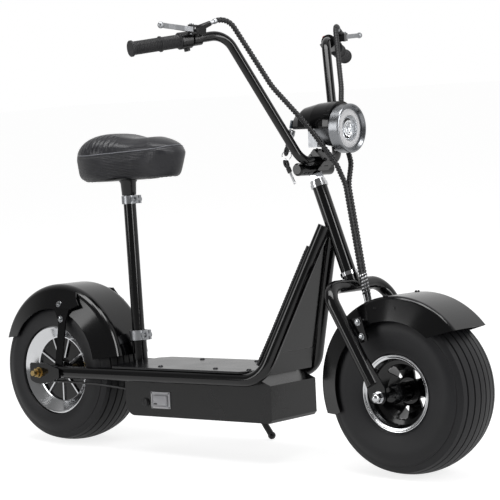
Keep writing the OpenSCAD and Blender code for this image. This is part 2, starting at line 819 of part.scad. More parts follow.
module brake_levers() {
    blade = [
        [-7, -6], [7, -8], [24, 0], [48, 9], [66, 12], [84, 19],
        [82, 25], [64, 18], [46, 15], [20, 8], [-2, 6], [-7, 3]];
    color("silver") place() both_sides() {
        at_lever() {
            linear_extrude(lever_h, center = true) polygon(blade);
            translate([85, 22, 0]) sphere(7.5);
            cylinder(h = lever_h + 12, r = 3.1, center = true);
            translate([0, 0, lever_h / 2 + 4.7]) cylinder(h = 2.5, r = 5);
        }
        rod(at_bar(pivot_s + 50.1, 25, 29), at_bar(pivot_s + 60, 24.8, 31.3), 4.5);
        rod(at_bar(pivot_s + 60, 24.8, 31.3), at_bar(pivot_s + 66, 24.7, 32.7), 6);
    }
}

module switch_pod() {
    color("black") place() {
        difference() {
            union() {
                rod(at_bar(grip_l + 0.3, 0, 0), at_bar(grip_l + 26, 0, 0), 19.5);
                rod(at_bar(grip_l + 13, 0, 0), at_bar(grip_l + 16, -2, -25), 7);
            }
            rod(at_bar(grip_l - 2, 0, 0), at_bar(grip_l + 40, 0, 0), bar_d / 2 + 0.1);
        }
        mirror([0, 1, 0]) difference() {
            union() {
                rod(at_bar(grip_l + 54, 0, 0), at_bar(grip_l + 80, 0, 0), 18);
                rod(at_bar(grip_l + 66, 6, 4), at_bar(grip_l + 66, -19, -12), 10);
            }
            rod(at_bar(grip_l + 50, 0, 0), at_bar(grip_l + 90, 0, 0), bar_d / 2 + 0.1);
        }
    }
}

lamp = [wheelbase - 144, 0, 600];
module headlight_ring() {
    r = lamp_d / 2;
    color("gray") place() translate(lamp) rotate([0, 90, 0]) rotate_extrude()
        polygon([
            [r - 12, -29], [r - 2, -29], [r, -27], [r, -4], [r - 1, -1.5], [r - 3, 0],
            [r - 5, -0.5], [r - 9, -7], [r - 9, -9], [r - 12, -9]]);
}

module headlight_lens() {
    r = lamp_d / 2 - 12.1;
    color("white") place() translate(lamp) rotate([0, 90, 0]) rotate_extrude()
        polygon([[0, -28.8], [r, -28.8], [r, -9.5], [r - 8, -6.5], [r - 18, -4.6], [r - 30, -3.5], [0, -3]]);
}

module headlight_shell() {
    r = lamp_d / 2 - 12;
    color("black") place() translate(lamp - [29.2, 0, 0]) rotate([0, -90, 0]) rotate_extrude()
        polygon([[0, 0], [r, 0], [r, 5], [r - 5, 34], [r - 11, 54], [r - 18, 61], [r - 28, 64], [0, 64]]);
}

module headlight_hood() {
    color("black") place() difference() {
        translate(lamp + [-30, 0, 9]) rotate([90, 0, 90]) rotate_extrude()
            polygon([
                [0, -134], [14, -132], [30, -121], [44, -96], [52, -56], [55, -16], [55, 0], [0, 0]]);
        translate(lamp + [-226, -80, -128]) cube([260, 160, 130]);
        translate(lamp - [28.9, 0, 0]) rotate([0, -90, 0])
            cylinder(h = 64.4, r = lamp_d / 2 - 11.7);
    }
}

module lamp_bracket() {
    color("silver") place() {
        translate([lamp[0] - 120, -12, bar_at[2] + 32]) cube([26, 24, lamp[2] + 1.8 - bar_at[2] - 32]);
    }
}

module ignition_lock() {
    color("silver") place() translate(lamp + [-154, -34, 1.8]) rotate([0, 16, 0]) {
        translate([0, 0, -20]) cylinder(h = 18, r = 11);
        translate([0, 0, -24]) cylinder(h = 4, r = 8.5);
        translate([-1.5, -11, -46]) cube([3, 22, 22]);
    }
}

module bar_harness() {
    start = at_bar(pivot_s + 67, 24.7, 32.8);
    color("black") place() both_sides()
        bent_tube([
            start, start - 30 * grip_dir + [0, 0, 2],
            [wheelbase - 270, -135, 700], [wheelbase - 225, -66, 610], [wheelbase - 172, -30, 520],
            [wheelbase - 164, -6, 470], [wheelbase - 129, -6, 272], [wheelbase - 112, -6, 191]],
            [36, 120, 90, 60, 60, 200], 5);
}

// Seat
saddle_seat = 465;
module seat_post() {
    color("silver") place() on_deck() translate(post_foot) rotate([0, -post_lean, 0])
        translate([0, 0, 190]) cylinder(h = saddle_seat - 5.4 - 190, r = post_d / 2);
}

module saddle_base() {
    socket = seat_tube_top + 1.5;
    color("black") place() on_deck() translate(post_foot) rotate([0, -post_lean, 0]) {
        translate([0, 0, saddle_seat - 5]) linear_extrude(4.7)
            polygon([
                [30 - saddle_back, -52], [50 - saddle_back, -76], [0, -82], [70, -50],
                [saddle_l - saddle_back - 42, -30], [saddle_l - saddle_back - 42, 30],
                [70, 50], [0, 82], [50 - saddle_back, 76], [30 - saddle_back, 52]]);
        translate([0, 0, socket]) difference() {
            cylinder(h = saddle_seat - 5 - socket, r1 = post_d / 2 + 3.5, r2 = post_d / 2 + 6);
            translate([0, 0, -1]) cylinder(h = 40, r = post_d / 2 + clear / 3);
        }
    }
}

module saddle() {
    r = saddle_w / 2;
    nose = saddle_w * 0.28;
    back = r - saddle_back;
    front = saddle_l - saddle_back - nose;
    waist = saddle_l * 0.55 - saddle_back;
    rear_steps = [[0, 10], [8, 3], [20, 0], [saddle_t - 42, 0], [saddle_t - 24, 8], [saddle_t - 10, 22]];
    nose_steps = [[0, 12], [10, 5], [24, 0], [saddle_t - 50, 0], [saddle_t - 36, 7], [saddle_t - 26, 20]];
    color("dimgray") place() on_deck() translate(post_foot) rotate([0, -post_lean, 0])
        translate([0, 0, saddle_seat]) {
            hull() {
                for (p = rear_steps)
                    translate([back, 0, p[0]]) cylinder(h = 1, r = r - p[1], $fn = 32);
                translate([back - 8, 0, saddle_t - 2]) cylinder(h = 2, r = r - 44, $fn = 32);
                translate([waist, 0, 16]) cylinder(h = saddle_t - 56, r = saddle_w * 0.36, $fn = 32);
            }
            hull() {
                translate([waist, 0, 8]) cylinder(h = saddle_t - 48, r = saddle_w * 0.37, $fn = 32);
                translate([waist, 0, 8]) cylinder(h = saddle_t - 36, r = saddle_w * 0.29, $fn = 32);
                for (p = nose_steps)
                    translate([front, 0, p[0]]) cylinder(h = 1, r = nose - p[1], $fn = 32);
                translate([front, 0, saddle_t - 22]) cylinder(h = 2, r = nose - 34, $fn = 32);
            }
        }
}

frame_tube_right();
frame_tube_left();
head_tube();
headset();
front_panel();
cross_members();
battery_box();
deck_plate();
deck_bolts();
rear_dropouts();
rear_axle();
rear_fender();
fender_struts();
seat_tube();
seat_tube_clamp();
power_switch();
charge_socket();
stand_bracket();
side_stand();
frame_harness();
rear_tyre();
rear_rim();
rear_motor();
front_tyre();
front_rim();
front_disc();
front_hub();
fork();
front_axle();
front_fender();
fender_brackets();
fork_stem();
head_nuts();
bar_clamp();
handlebar();
throttle_grip();
left_grip();
brake_perches();
brake_levers();
switch_pod();
headlight_shell();
headlight_ring();
headlight_lens();
headlight_hood();
lamp_bracket();
ignition_lock();
bar_harness();
seat_post();
saddle_base();
saddle();
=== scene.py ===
import math

import bpy
from mathutils import Matrix, Vector


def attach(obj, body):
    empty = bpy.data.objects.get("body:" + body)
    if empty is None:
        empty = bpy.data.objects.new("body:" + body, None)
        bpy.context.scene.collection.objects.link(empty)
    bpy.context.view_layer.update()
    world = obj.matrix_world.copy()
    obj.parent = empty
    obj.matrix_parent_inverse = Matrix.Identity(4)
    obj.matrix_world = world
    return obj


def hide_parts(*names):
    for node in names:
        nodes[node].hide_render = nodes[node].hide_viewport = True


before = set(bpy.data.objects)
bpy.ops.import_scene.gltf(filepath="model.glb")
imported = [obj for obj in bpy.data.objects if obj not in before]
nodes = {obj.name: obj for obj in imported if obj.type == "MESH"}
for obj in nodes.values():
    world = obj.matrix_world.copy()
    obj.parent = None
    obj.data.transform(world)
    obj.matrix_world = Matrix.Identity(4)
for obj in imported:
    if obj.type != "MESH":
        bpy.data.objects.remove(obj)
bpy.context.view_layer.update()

# The camera and the floor: the photograph was taken from the right front,
# low and far off, and the scooter stood upright in it. Here it leans on its
# stand, so the camera leans with it and the scooter looks the same.
LEAN = math.radians(4.0)
X_MID, Y_MID, Z_LIFT = 0.531, 0.0685357, 0.000479882
AXLE_UP = 0.1905
WHEELBASE = 1070
DECK_TILT = math.radians(-1.1)
lean_turn = Matrix.Rotation(-LEAN, 3, "X")
deck_place = (Matrix.Translation((-X_MID, -Y_MID, Z_LIFT)) @ lean_turn.to_4x4() @ Matrix.Translation((0, 0, AXLE_UP))
              @ Matrix.Rotation(DECK_TILT, 4, "Y"))


def upright(x, y, z):
    """Point given in mm from the middle of the rear axle, scooter upright."""
    p = lean_turn @ Vector((x / 1000, y / 1000, z / 1000 + AXLE_UP))
    return p + Vector((-X_MID, -Y_MID, Z_LIFT))


def upright_dir(x, y, z):
    return (lean_turn @ Vector((x, y, z))).normalized()


yaw, pitch, roll = 0.6802, -0.0545, -0.0325
view = Vector((-math.sin(yaw) * math.cos(pitch), math.cos(yaw) * math.cos(pitch), math.sin(pitch)))
right = Vector((math.cos(yaw), math.sin(yaw), 0))
up = right.cross(view)
right, up = (right * math.cos(roll) + up * math.sin(roll), up * math.cos(roll) - right * math.sin(roll))
camera = bpy.data.objects.new("camera", bpy.data.cameras.new("camera"))
bpy.context.scene.collection.objects.link(camera)
camera.data.lens = 128.98
camera.data.sensor_width = 36
turn = lean_turn @ Matrix((right, up, -view)).transposed()
camera.matrix_world = Matrix.Translation(upright(3340.5, -3375.1, 742.5 - 190.5)) @ turn.to_4x4()
bpy.context.scene.camera = camera
bpy.context.scene.view_settings.view_transform = "Standard"


def hex_colour(text):
    """sRGB hex value as linear red, green, blue and alpha."""
    parts = [int(text[i:i + 2], 16) / 255 for i in (0, 2, 4)]
    return [c / 12.92 if c <= 0.04045 else ((c + 0.055) / 1.055) ** 2.4 for c in parts] + [1.0]


def add(tree, kind, settings=None, **links):
    """Adds a node, sets its settings or unlinked sockets, and links sockets by name."""
    n = tree.nodes.new(kind)
    for key, value in (settings or {}).items():
        if hasattr(n, key):
            setattr(n, key, value)
        else:
            n.inputs[int(key) if key.isdigit() else key].default_value = value
    for key, source in links.items():
        key = key.replace("_", " ")
        tree.links.new(source, n.inputs[int(key) if key.isdigit() else key])
    return n


def new_material(name):
    m = bpy.data.materials.new(name)
    m.use_nodes = True
    m.node_tree.nodes.clear()
    return m, m.node_tree


# The floor is a matt paper sweep, pale grey and lit to white where the camera
# sees it. Gloss on the scooter sees it at less than half of that.
floor_paper, t = new_material("studio_paper")
rays = add(t, "ShaderNodeLightPath")
half_seen = add(t, "ShaderNodeMath", {"operation": "MULTIPLY", "1": 0.45}, **{"0": rays.outputs["Is Glossy Ray"]})
seen = add(t, "ShaderNodeMath", {"operation": "MAXIMUM"}, **{
    "0": rays.outputs["Is Camera Ray"], "1": half_seen.outputs[0]})
paper = add(t, "ShaderNodeBsdfDiffuse", {"Color": hex_colour("b4b4b4")})
glow = add(t, "ShaderNodeEmission", {"Color": hex_colour("ffffff"), "Strength": 0.8})
both = add(t, "ShaderNodeAddShader", None, **{"0": paper.outputs[0], "1": glow.outputs[0]})
mix = add(t, "ShaderNodeMixShader", None, **{
    "0": seen.outputs[0], "1": paper.outputs[0], "2": both.outputs[0]})
add(t, "ShaderNodeOutputMaterial", None, Surface=mix.outputs[0])
bpy.ops.mesh.primitive_plane_add(size=60)
floor = bpy.context.object
floor.name = "floor"
floor.data.materials.append(floor_paper)

# The room is white to the camera. The scooter mirrors it darker on its right,
# the camera's side, and brighter on its left.
world = bpy.data.worlds.new("studio")
bpy.context.scene.world = world
world.use_nodes = True
world.node_tree.nodes.clear()
t = world.node_tree
rays = add(t, "ShaderNodeLightPath")
seen = add(t, "ShaderNodeMath", {"operation": "MAXIMUM"}, **{
    "0": rays.outputs["Is Camera Ray"], "1": rays.outputs["Is Transmission Ray"]})
where = add(t, "ShaderNodeTexCoord")
axes = add(t, "ShaderNodeSeparateXYZ", None, Vector=where.outputs["Generated"])
room = add(t, "ShaderNodeMapRange", {"From Min": -0.35, "From Max": 0.75, "To Min": 0.16, "To Max": 0.8},
           Value=axes.outputs["Y"])
level = add(t, "ShaderNodeMix", {"data_type": "FLOAT"}, Factor=seen.outputs[0], A=room.outputs["Result"])
level.inputs["B"].default_value = 1.0
sky = add(t, "ShaderNodeBackground", {"Color": hex_colour("ffffff")}, Strength=level.outputs[0])
add(t, "ShaderNodeOutputWorld", None, Surface=sky.outputs[0])


# Three softboxes: one overhead, one in front and one to the right
def softbox(name, place, aim, size, power):
    lamp = bpy.data.lights.new(name, "AREA")
    lamp.shape = "RECTANGLE"
    lamp.size, lamp.size_y = size
    lamp.energy = power
    o = bpy.data.objects.new(name, lamp)
    bpy.context.scene.collection.objects.link(o)
    o.location = place
    o.rotation_euler = (Vector(aim) - Vector(place)).to_track_quat("-Z", "Y").to_euler()


softbox("overhead", (0.2, -0.6, 3.4), (0, 0, 0.4), (3.2, 1.2), 70)
softbox("front_strip", (3.2, -0.6, 1.6), (0, 0, 0.5), (0.7, 2.6), 38)
softbox("side_strip", (-1.6, -3.4, 1.7), (0, 0, 0.4), (1.4, 2.2), 34)


# The paint: steel tube and sheet, powder coated in black and baked. It is
# smooth enough to mirror the lamps as white lines, with a faint orange peel.
def black_paint(name, tone, rough, peel=0.006):
    m, t = new_material(name)
    where = add(t, "ShaderNodeTexCoord")
    # Orange peel is 1 to 2 mm across
    ripple = add(t, "ShaderNodeTexNoise", {"Scale": 420.0, "Detail": 1.0}, Vector=where.outputs["Object"])
    cloud = add(t, "ShaderNodeTexNoise", {"Scale": 9.0, "Detail": 3.0}, Vector=where.outputs["Object"])
    gloss = add(t, "ShaderNodeMapRange", {"To Min": rough * 0.75, "To Max": rough * 1.3}, Value=cloud.outputs["Fac"])
    bump = add(t, "ShaderNodeBump", {"Strength": peel, "Distance": 0.0004}, Height=ripple.outputs["Fac"])
    skin = add(t, "ShaderNodeBsdfPrincipled", {
        "Base Color": hex_colour(tone), "Specular IOR Level": 0.5},
        Roughness=gloss.outputs["Result"], Normal=bump.outputs["Normal"])
    add(t, "ShaderNodeOutputMaterial", None, Surface=skin.outputs[0])
    return m


gloss_black = black_paint("gloss_powder_coat", "060607", 0.13)
satin_black = black_paint("satin_powder_coat", "060607", 0.25, 0.05)


def dress(material, *names):
    """Gives CAD nodes a material on every slot."""
    for n in names:
        mesh = nodes[n].data
        if not mesh.materials:
            mesh.materials.append(material)
        for i in range(len(mesh.materials)):
            mesh.materials[i] = material
            nodes[n].material_slots[i].material = material


dress(gloss_black, "frame_tube_right", "frame_tube_left", "head_tube", "front_panel", "rear_dropouts",
      "rear_fender", "fender_struts", "seat_tube", "stand_bracket", "side_stand", "fork", "front_fender",
      "fender_brackets", "fork_stem", "bar_clamp", "handlebar", "front_disc", "front_hub", "rear_motor",
      "seat_post")
dress(satin_black, "battery_box", "cross_members", "charge_socket", "saddle_base", "brake_perches", "switch_pod")


# Bright metal: chromed steel for the headset and lock, polished aluminium
# for the rims, cast for the levers, and yellow zinc plate on the rear axle.
def bright_metal(name, tone, rough, grain=0.0):
    m, t = new_material(name)
    where = add(t, "ShaderNodeTexCoord")
    wear = add(t, "ShaderNodeTexNoise", {"Scale": 120.0, "Detail": 4.0}, Vector=where.outputs["Object"])
    gloss = add(t, "ShaderNodeMapRange", {"To Min": rough * 0.7, "To Max": rough * 1.5}, Value=wear.outputs["Fac"])
    bump = add(t, "ShaderNodeBump", {"Strength": grain, "Distance": 0.0003}, Height=wear.outputs["Fac"])
    skin = add(t, "ShaderNodeBsdfPrincipled", {"Base Color": hex_colour(tone), "Metallic": 1.0},
               Roughness=gloss.outputs["Result"], Normal=bump.outputs["Normal"])
    add(t, "ShaderNodeOutputMaterial", None, Surface=skin.outputs[0])
    return m


chrome = bright_metal("chromed_steel", "d2d3d5", 0.08)
polished_aluminium = bright_metal("polished_aluminium", "e0e1e3", 0.13, 0.04)
cast_aluminium = bright_metal("tumbled_aluminium", "a6a8ab", 0.3, 0.2)
yellow_zinc = bright_metal("yellow_zinc_plate", "b59c6a", 0.26, 0.1)
lamp_paint = bright_metal("anodised_grey_aluminium", "8d8f92", 0.25, 0.05)
dress(chrome, "headset", "head_nuts", "front_axle")
dress(polished_aluminium, "rear_rim")
dress(cast_aluminium, "brake_levers", "seat_tube_clamp", "lamp_bracket")
dress(yellow_zinc, "rear_axle")
dress(lamp_paint, "headlight_ring", "headlight_shell")

# Tyres: black rubber, 15 x 6.00-6, with plain ribs round the tread and a
# thin mould line at each shoulder. Each is turned from a ring that is
# extruded and scaled along the section, with the grooves sunk in the crown.


def deselect():
    if bpy.context.object and bpy.context.object.mode != "OBJECT":
        bpy.ops.object.mode_set(mode="OBJECT")
    bpy.ops.object.select_all(action="DESELECT")


def turned(name, centre, axis, stations, sides=96, ring=False):
    """A disc extruded and scaled from station to station (along, radius) in mm, or a ring that ends where it began."""
    deselect()
    bpy.ops.mesh.primitive_circle_add(vertices=sides, radius=1, fill_type="NOTHING" if ring else "NGON")
    o = bpy.context.object
    o.name = name
    if ring:
        stations = stations + [stations[0]]
    first_along, first_r = stations[0]
    bpy.ops.object.mode_set(mode="EDIT")
    bpy.ops.mesh.select_all(action="SELECT")
    bpy.ops.transform.resize(value=(first_r / 1000,) * 3)
    bpy.ops.transform.translate(value=(0, 0, first_along / 1000))
    for (a0, r0), (a1, r1) in zip(stations, stations[1:]):
        bpy.ops.mesh.extrude_region_move(TRANSFORM_OT_translate={"value": (0, 0, (a1 - a0) / 1000)})
        bpy.ops.transform.resize(value=(r1 / r0, r1 / r0, 1), center_override=(0, 0, a1 / 1000))
    bpy.ops.mesh.select_all(action="SELECT")
    bpy.ops.mesh.remove_doubles(threshold=2e-6)
    bpy.ops.mesh.normals_make_consistent(inside=False)
    bpy.ops.object.mode_set(mode="OBJECT")
    turn = Vector((0, 0, 1)).rotation_difference(Vector(axis).normalized()).to_matrix().to_4x4()
    o.data.transform(Matrix.Translation(centre) @ turn)
    smooth(o, 40)
    return o


def joined(name, parts):
    deselect()
    for p in parts:
        p.select_set(True)
    bpy.context.view_layer.objects.active = parts[0]
    bpy.ops.object.join()
    parts[0].name = name
    parts[0].data.name = name
    return parts[0]


def smooth(o, angle=35):
    deselect()
    o.select_set(True)
    bpy.context.view_layer.objects.active = o
    bpy.ops.object.shade_smooth_by_angle(angle=math.radians(angle))


def finish_piece(o, material, body, slot, *stands_for):
    o.data.materials.clear()
    o.data.materials.append(material)
    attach(o, body)
    if stands_for:
        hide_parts(*stands_for)
    return o


TYRE_R, TYRE_W, CROWN_R = 190.5, 160.0, 197.0
GROOVE_W, GROOVE_D = 4.2, 3.4
tyre_rubber, t = new_material("tyre_rubber")
where = add(t, "ShaderNodeTexCoord")
dust = add(t, "ShaderNodeTexNoise", {"Scale": 14.0, "Detail": 5.0}, Vector=where.outputs["Object"])
# Moulded rubber has a fine grain of about half a millimetre
grain = add(t, "ShaderNodeTexNoise", {"Scale": 1500.0, "Detail": 2.0}, Vector=where.outputs["Object"])
tone = add(t, "ShaderNodeMix", {"data_type": "RGBA"}, Factor=dust.outputs["Fac"])
tone.inputs["A"].default_value = hex_colour("121214")
tone.inputs["B"].default_value = hex_colour("1c1c1f")
bump = add(t, "ShaderNodeBump", {"Strength": 0.15, "Distance": 0.0005}, Height=grain.outputs["Fac"])
skin = add(t, "ShaderNodeBsdfPrincipled", {"Roughness": 0.48, "Specular IOR Level": 0.4},
           **{"Base Color": tone.outputs["Result"], "Normal": bump.outputs["Normal"]})
add(t, "ShaderNodeOutputMaterial", None, Surface=skin.outputs[0])


def tyre_section(rim_r, rim_w, grooves):
    """Stations from one bead over the crown to the other, in mm."""
    half = []
    edge = TYRE_W / 2 - 15
    cuts = []
    for y in grooves:
        cuts += [(y - GROOVE_W / 2, 0), (y - GROOVE_W / 2 + 0.7, GROOVE_D),
                 (y + GROOVE_W / 2 - 0.7, GROOVE_D), (y + GROOVE_W / 2, 0)]
    ys = sorted(set([0.0, edge] + [edge * i / 8 for i in range(1, 8)]))
    ys = [y for y in ys if all(abs(y - g) > GROOVE_W / 2 + 0.5 for g in grooves)]
    for y, sunk in sorted([(y, 0) for y in ys] + [c for c in cuts if c[0] >= 0]):
        half.append((y, TYRE_R - CROWN_R + math.sqrt(CROWN_R ** 2 - y * y) - sunk))
    w = TYRE_W / 2
    half += [(w - 11.5, TYRE_R - 18.5), (w - 9.6, TYRE_R - 23), (w - 9.4, TYRE_R - 25.2), (w - 7.6, TYRE_R - 25.6),
             (w - 7.2, TYRE_R - 27.4), (w - 3.4, TYRE_R - 34), (w - 0.9, TYRE_R - 43), (w - 0.1, TYRE_R - 51),
             (w - 1.2, TYRE_R - 62), (w - 4.6, TYRE_R - 75)]
    bead = rim_w / 2
    half += [(bead + 6.5, rim_r + 13), (bead + 3.6, rim_r + 6.5), (bead + 2.4, rim_r + 3.5),
             (bead - 2.2, rim_r + 1.0), (bead - 8, rim_r - 7.2), (bead - 13, rim_r - 11.4)]
    return [(-y, r) for y, r in reversed(half)] + [p for p in half if p[0] > 0]


wheel_axis = upright_dir(0, 1, 0)
for body, x, rim_r, rim_w in (("rear_wheel", 0, 115, 140), ("front_wheel", WHEELBASE, 89, 134)):
    o = turned(body.split("_")[0] + "_tyre_ribbed", upright(x, 0, 0), wheel_axis,
               tyre_section(rim_r, rim_w, (10.5, 31.5, 52.5)), 160, ring=True)
    finish_piece(o, tyre_rubber, body, "tyre_rubber", body.split("_")[0] + "_tyre")


# Front rim: a pressed steel barrel, painted black inside, between two lips
# that are rolled outwards over the tyre's beads and polished.
FRONT_HUB = upright(WHEELBASE, 0, 0)
lips = []
for side in (-1, 1):
    lips.append(turned("lip", FRONT_HUB, wheel_axis * side, [
        (53.2, 76.6), (58, 80.2), (63.8, 88.9), (66, 89.1), (67.1, 88.3), (67.2, 86.7), (66.2, 85.2), (64.6, 84.4),
        (64, 82.8), (64.3, 81), (63.4, 79.4), (60.5, 78.6), (55.4, 74.6), (53.2, 73.8)], 120, ring=True))
finish_piece(joined("front_rim_lips", lips), polished_aluminium, "front_wheel", "polished_rim", "front_rim")
barrel = turned("front_rim_barrel", FRONT_HUB, wheel_axis, [
    (-53, 76.6), (53, 76.6), (53, 74), (50, 73.4), (-50, 73.4), (-53, 74)], 120, ring=True)
finish_piece(barrel, gloss_black, "front_wheel", "black_paint")

# Grips: soft rubber sleeves pushed on the ends of the bar, moulded with fine
# rings. The right one has a fixed outer half and a throttle that twists.
BAR_END = Vector((618, -404, 792))
BAR_BEND = Vector((713, -194, 824))
GRIP_DIR = (BAR_END - BAR_BEND).normalized()
BAR_FWD = Vector((-GRIP_DIR.y, GRIP_DIR.x, 0)).normalized()
BAR_UP = GRIP_DIR.cross(BAR_FWD)
PIVOT_S = 138


def at_bar(s, f, u, side=-1):
    """Point s mm in from the bar's end, f ahead of it and u above it."""
    p = BAR_END - s * GRIP_DIR + f * BAR_FWD + u * BAR_UP
    return upright(p.x, p.y if side < 0 else -p.y, p.z)


def bar_dir(side=-1):
    return upright_dir(GRIP_DIR.x, GRIP_DIR.y * -side, GRIP_DIR.z)


grip_rubber, t = new_material("grip_rubber")
where = add(t, "ShaderNodeTexCoord")
worn = add(t, "ShaderNodeTexNoise", {"Scale": 60.0, "Detail": 4.0}, Vector=where.outputs["Object"])
# Moulded grips have a grain of about 0.7 mm
grain = add(t, "ShaderNodeTexVoronoi", {"Scale": 1100.0}, Vector=where.outputs["Object"])
gloss = add(t, "ShaderNodeMapRange", {"To Min": 0.42, "To Max": 0.62}, Value=worn.outputs["Fac"])
bump = add(t, "ShaderNodeBump", {"Strength": 0.25, "Distance": 0.0004}, Height=grain.outputs["Distance"])
skin = add(t, "ShaderNodeBsdfPrincipled", {"Base Color": hex_colour("1b1b1d"), "Specular IOR Level": 0.45},
           Roughness=gloss.outputs["Result"], Normal=bump.outputs["Normal"])
add(t, "ShaderNodeOutputMaterial", None, Surface=skin.outputs[0])

sections = [(-6, 14.4), (-6, 17.6), (-5, 18.5), (-1, 18.5), (0, 17.4), (1.5, 15.6)]
for i in range(15):
    a = 4 + 4.1 * i
    sections += [(a, 15.5), (a + 0.8, 14.7), (a + 2.0, 14.7), (a + 2.8, 15.5)]
sections += [(66, 15.5), (66.4, 17.2), (67.4, 18), (70, 18), (71, 17.2), (71.4, 15.5)]
for i in range(9):
    a = 75 + 4.1 * i
    sections += [(a, 15.5), (a + 0.8, 14.9), (a + 2.0, 14.9), (a + 2.8, 15.5)]
sections += [(112.6, 15.6), (113.8, 18.2), (115, 19.4), (117, 19.5), (117.9, 18.8), (117.9, 11.2)]
for side, name in ((-1, "throttle_grip"), (1, "left_grip")):
    o = turned(name + "_ringed", at_bar(0, 0, 0, side), -bar_dir(side), [(-6, 0.05)] + sections, 40)
    finish_piece(o, grip_rubber, "steering", "grip_rubber", name)


# Brake cables: each runs in a black spiral wrap from the lever's adjuster
# across the riser, in front of the head tube and down to the front fender,
# where a chromed end sleeve holds it. The wrap is a flat strip wound round.
def rounded_route(points, bends, step=6.0):
    """Points in mm along straights joined by arcs, a few mm apart."""
    pts = [Vector(p) for p in points]
    route = [pts[0]]
    for a, b, c, r in zip(pts, pts[1:], pts[2:], bends):
        u, v = (b - a).normalized(), (c - b).normalized()
        turn = u.angle(v)
        reach = r * math.tan(turn / 2)
        inward = (v - u * u.dot(v)).normalized()
        centre = b - u * reach + inward * r
        n = max(2, int(turn * r / step) + 1)
        for i in range(n + 1):
            w = turn * i / n
            route.append(centre - inward * r * math.cos(w) + u * r * math.sin(w))
    route.append(pts[-1])
    even = [route[0]]
    for a, b in zip(route, route[1:]):
        n = max(1, int((b - a).length / step))
        even += [a.lerp(b, i / n) for i in range(1, n + 1)]
    return even


def wound_strip(name, route, r, width, thick, pitch):
    """A flat strip wound round a route, by a screw that a curve then bends."""
    length = sum((b - a).length for a, b in zip(route, route[1:])) / 1000
    turns = int(length * 1000 / pitch) - 1
    deselect()
    bpy.ops.mesh.primitive_plane_add(size=1)
    o = bpy.context.object
    o.name = name
    bpy.ops.object.mode_set(mode="EDIT")
    bpy.ops.transform.resize(value=(width / 1000, thick / 1000, 1))
    bpy.ops.transform.translate(value=(width / 2000, r / 1000 + thick / 2000, 0))
    bpy.ops.mesh.bevel(offset=thick / 2600, segments=1, affect="VERTICES")
    bpy.ops.mesh.select_all(action="SELECT")
    bpy.ops.mesh.delete(type="ONLY_FACE")
    bpy.ops.object.mode_set(mode="OBJECT")
    screw = o.modifiers.new("wind", "SCREW")
    screw.axis = "X"
    screw.angle = math.tau * turns
    screw.screw_offset = pitch / 1000 * turns
    screw.steps = screw.render_steps = 14 * turns
    screw.use_normal_calculate = True
    bpy.ops.object.modifier_apply(modifier="wind")
    line = bpy.data.curves.new(name + "_route", "CURVE")
    line.dimensions = "3D"
    spline = line.splines.new("POLY")
    spline.points.add(len(route) - 1)
    for p, q in zip(spline.points, route):
        p.co = (*upright(*q), 1)
    guide = bpy.data.objects.new(name + "_route", line)
    bpy.context.scene.collection.objects.link(guide)
    bend = o.modifiers.new("bend", "CURVE")
    bend.object = guide
    bend.deform_axis = "POS_X"
    bpy.ops.object.modifier_apply(modifier="bend")
    bpy.data.objects.remove(guide)
    bpy.ops.object.mode_set(mode="EDIT")
    bpy.ops.mesh.select_all(action="SELECT")
    bpy.ops.mesh.fill_holes(sides=12)
    bpy.ops.mesh.normals_make_consistent(inside=False)
    bpy.ops.object.mode_set(mode="OBJECT")
    smooth(o, 50)
    return o


cable_wrap, t = new_material("spiral_wrap_polyethylene")
where = add(t, "ShaderNodeTexCoord")
rub = add(t, "ShaderNodeTexNoise", {"Scale": 90.0, "Detail": 3.0}, Vector=where.outputs["Object"])
gloss = add(t, "ShaderNodeMapRange", {"To Min": 0.3, "To Max": 0.5}, Value=rub.outputs["Fac"])
skin = add(t, "ShaderNodeBsdfPrincipled", {"Base Color": hex_colour("151517"), "Specular IOR Level": 0.6},
           Roughness=gloss.outputs["Result"])
add(t, "ShaderNodeOutputMaterial", None, Surface=skin.outputs[0])
dress(cable_wrap, "bar_harness", "frame_harness")

start = BAR_END - (PIVOT_S + 67) * GRIP_DIR + 24.7 * BAR_FWD + 32.8 * BAR_UP
for side, name in ((-1, "right_cable_wrap"), (1, "left_cable_wrap")):
    knots = [start, start - 30 * GRIP_DIR + Vector((0, 0, 2)), (800, -135, 700), (845, -66, 610),
             (898, -30, 520), (906, -6, 470), (941, -6, 272), (954, -6, 208)]
    knots = [(p[0], p[1] * -side, p[2]) for p in knots]
    route = rounded_route(knots, (36, 120, 90, 60, 60, 200))
    o = wound_strip(name, route, 4.9, 4.6, 1.5, 7.6)
    finish_piece(o, cable_wrap, "steering", "cable_wrap")


def main_tube(z):
    """Point in mm on the right side tube's climb to the head, at height z."""
    return Vector((716, -106, 13.75)) + Vector((132, 92, 360)) * ((z - 13.75) / 360)


route = rounded_route([main_tube(44) + Vector((-25, 0, 5)), main_tube(120) + Vector((-22, 0, 6)),
                       main_tube(320) + Vector((-20, 0, 8))], (400,))
o = wound_strip("frame_cable_wrap", route, 4.0, 5.0, 0.8, 7.0)
finish_piece(o, cable_wrap, "frame", "cable_wrap")

# Cable sleeves: a chromed, crimped sleeve ends each of the two brake cables
# where they meet the front fender.
for side, name in ((-1, "right_cable_sleeve"), (1, "left_cable_sleeve")):
    top, low = upright(941, side * 6, 272), upright(957.3, side * 6, 194)
    o = turned(name, low, top - low, [(0, 5.6), (0.8, 6.2), (5, 6.2), (5.5, 5.3), (9, 5.3), (9.5, 5.6), (60, 5.6),
               (60.6, 5.95), (70, 5.95), (71, 5.2)], 20)
    finish_piece(o, chrome, "steering", "chrome_parts")

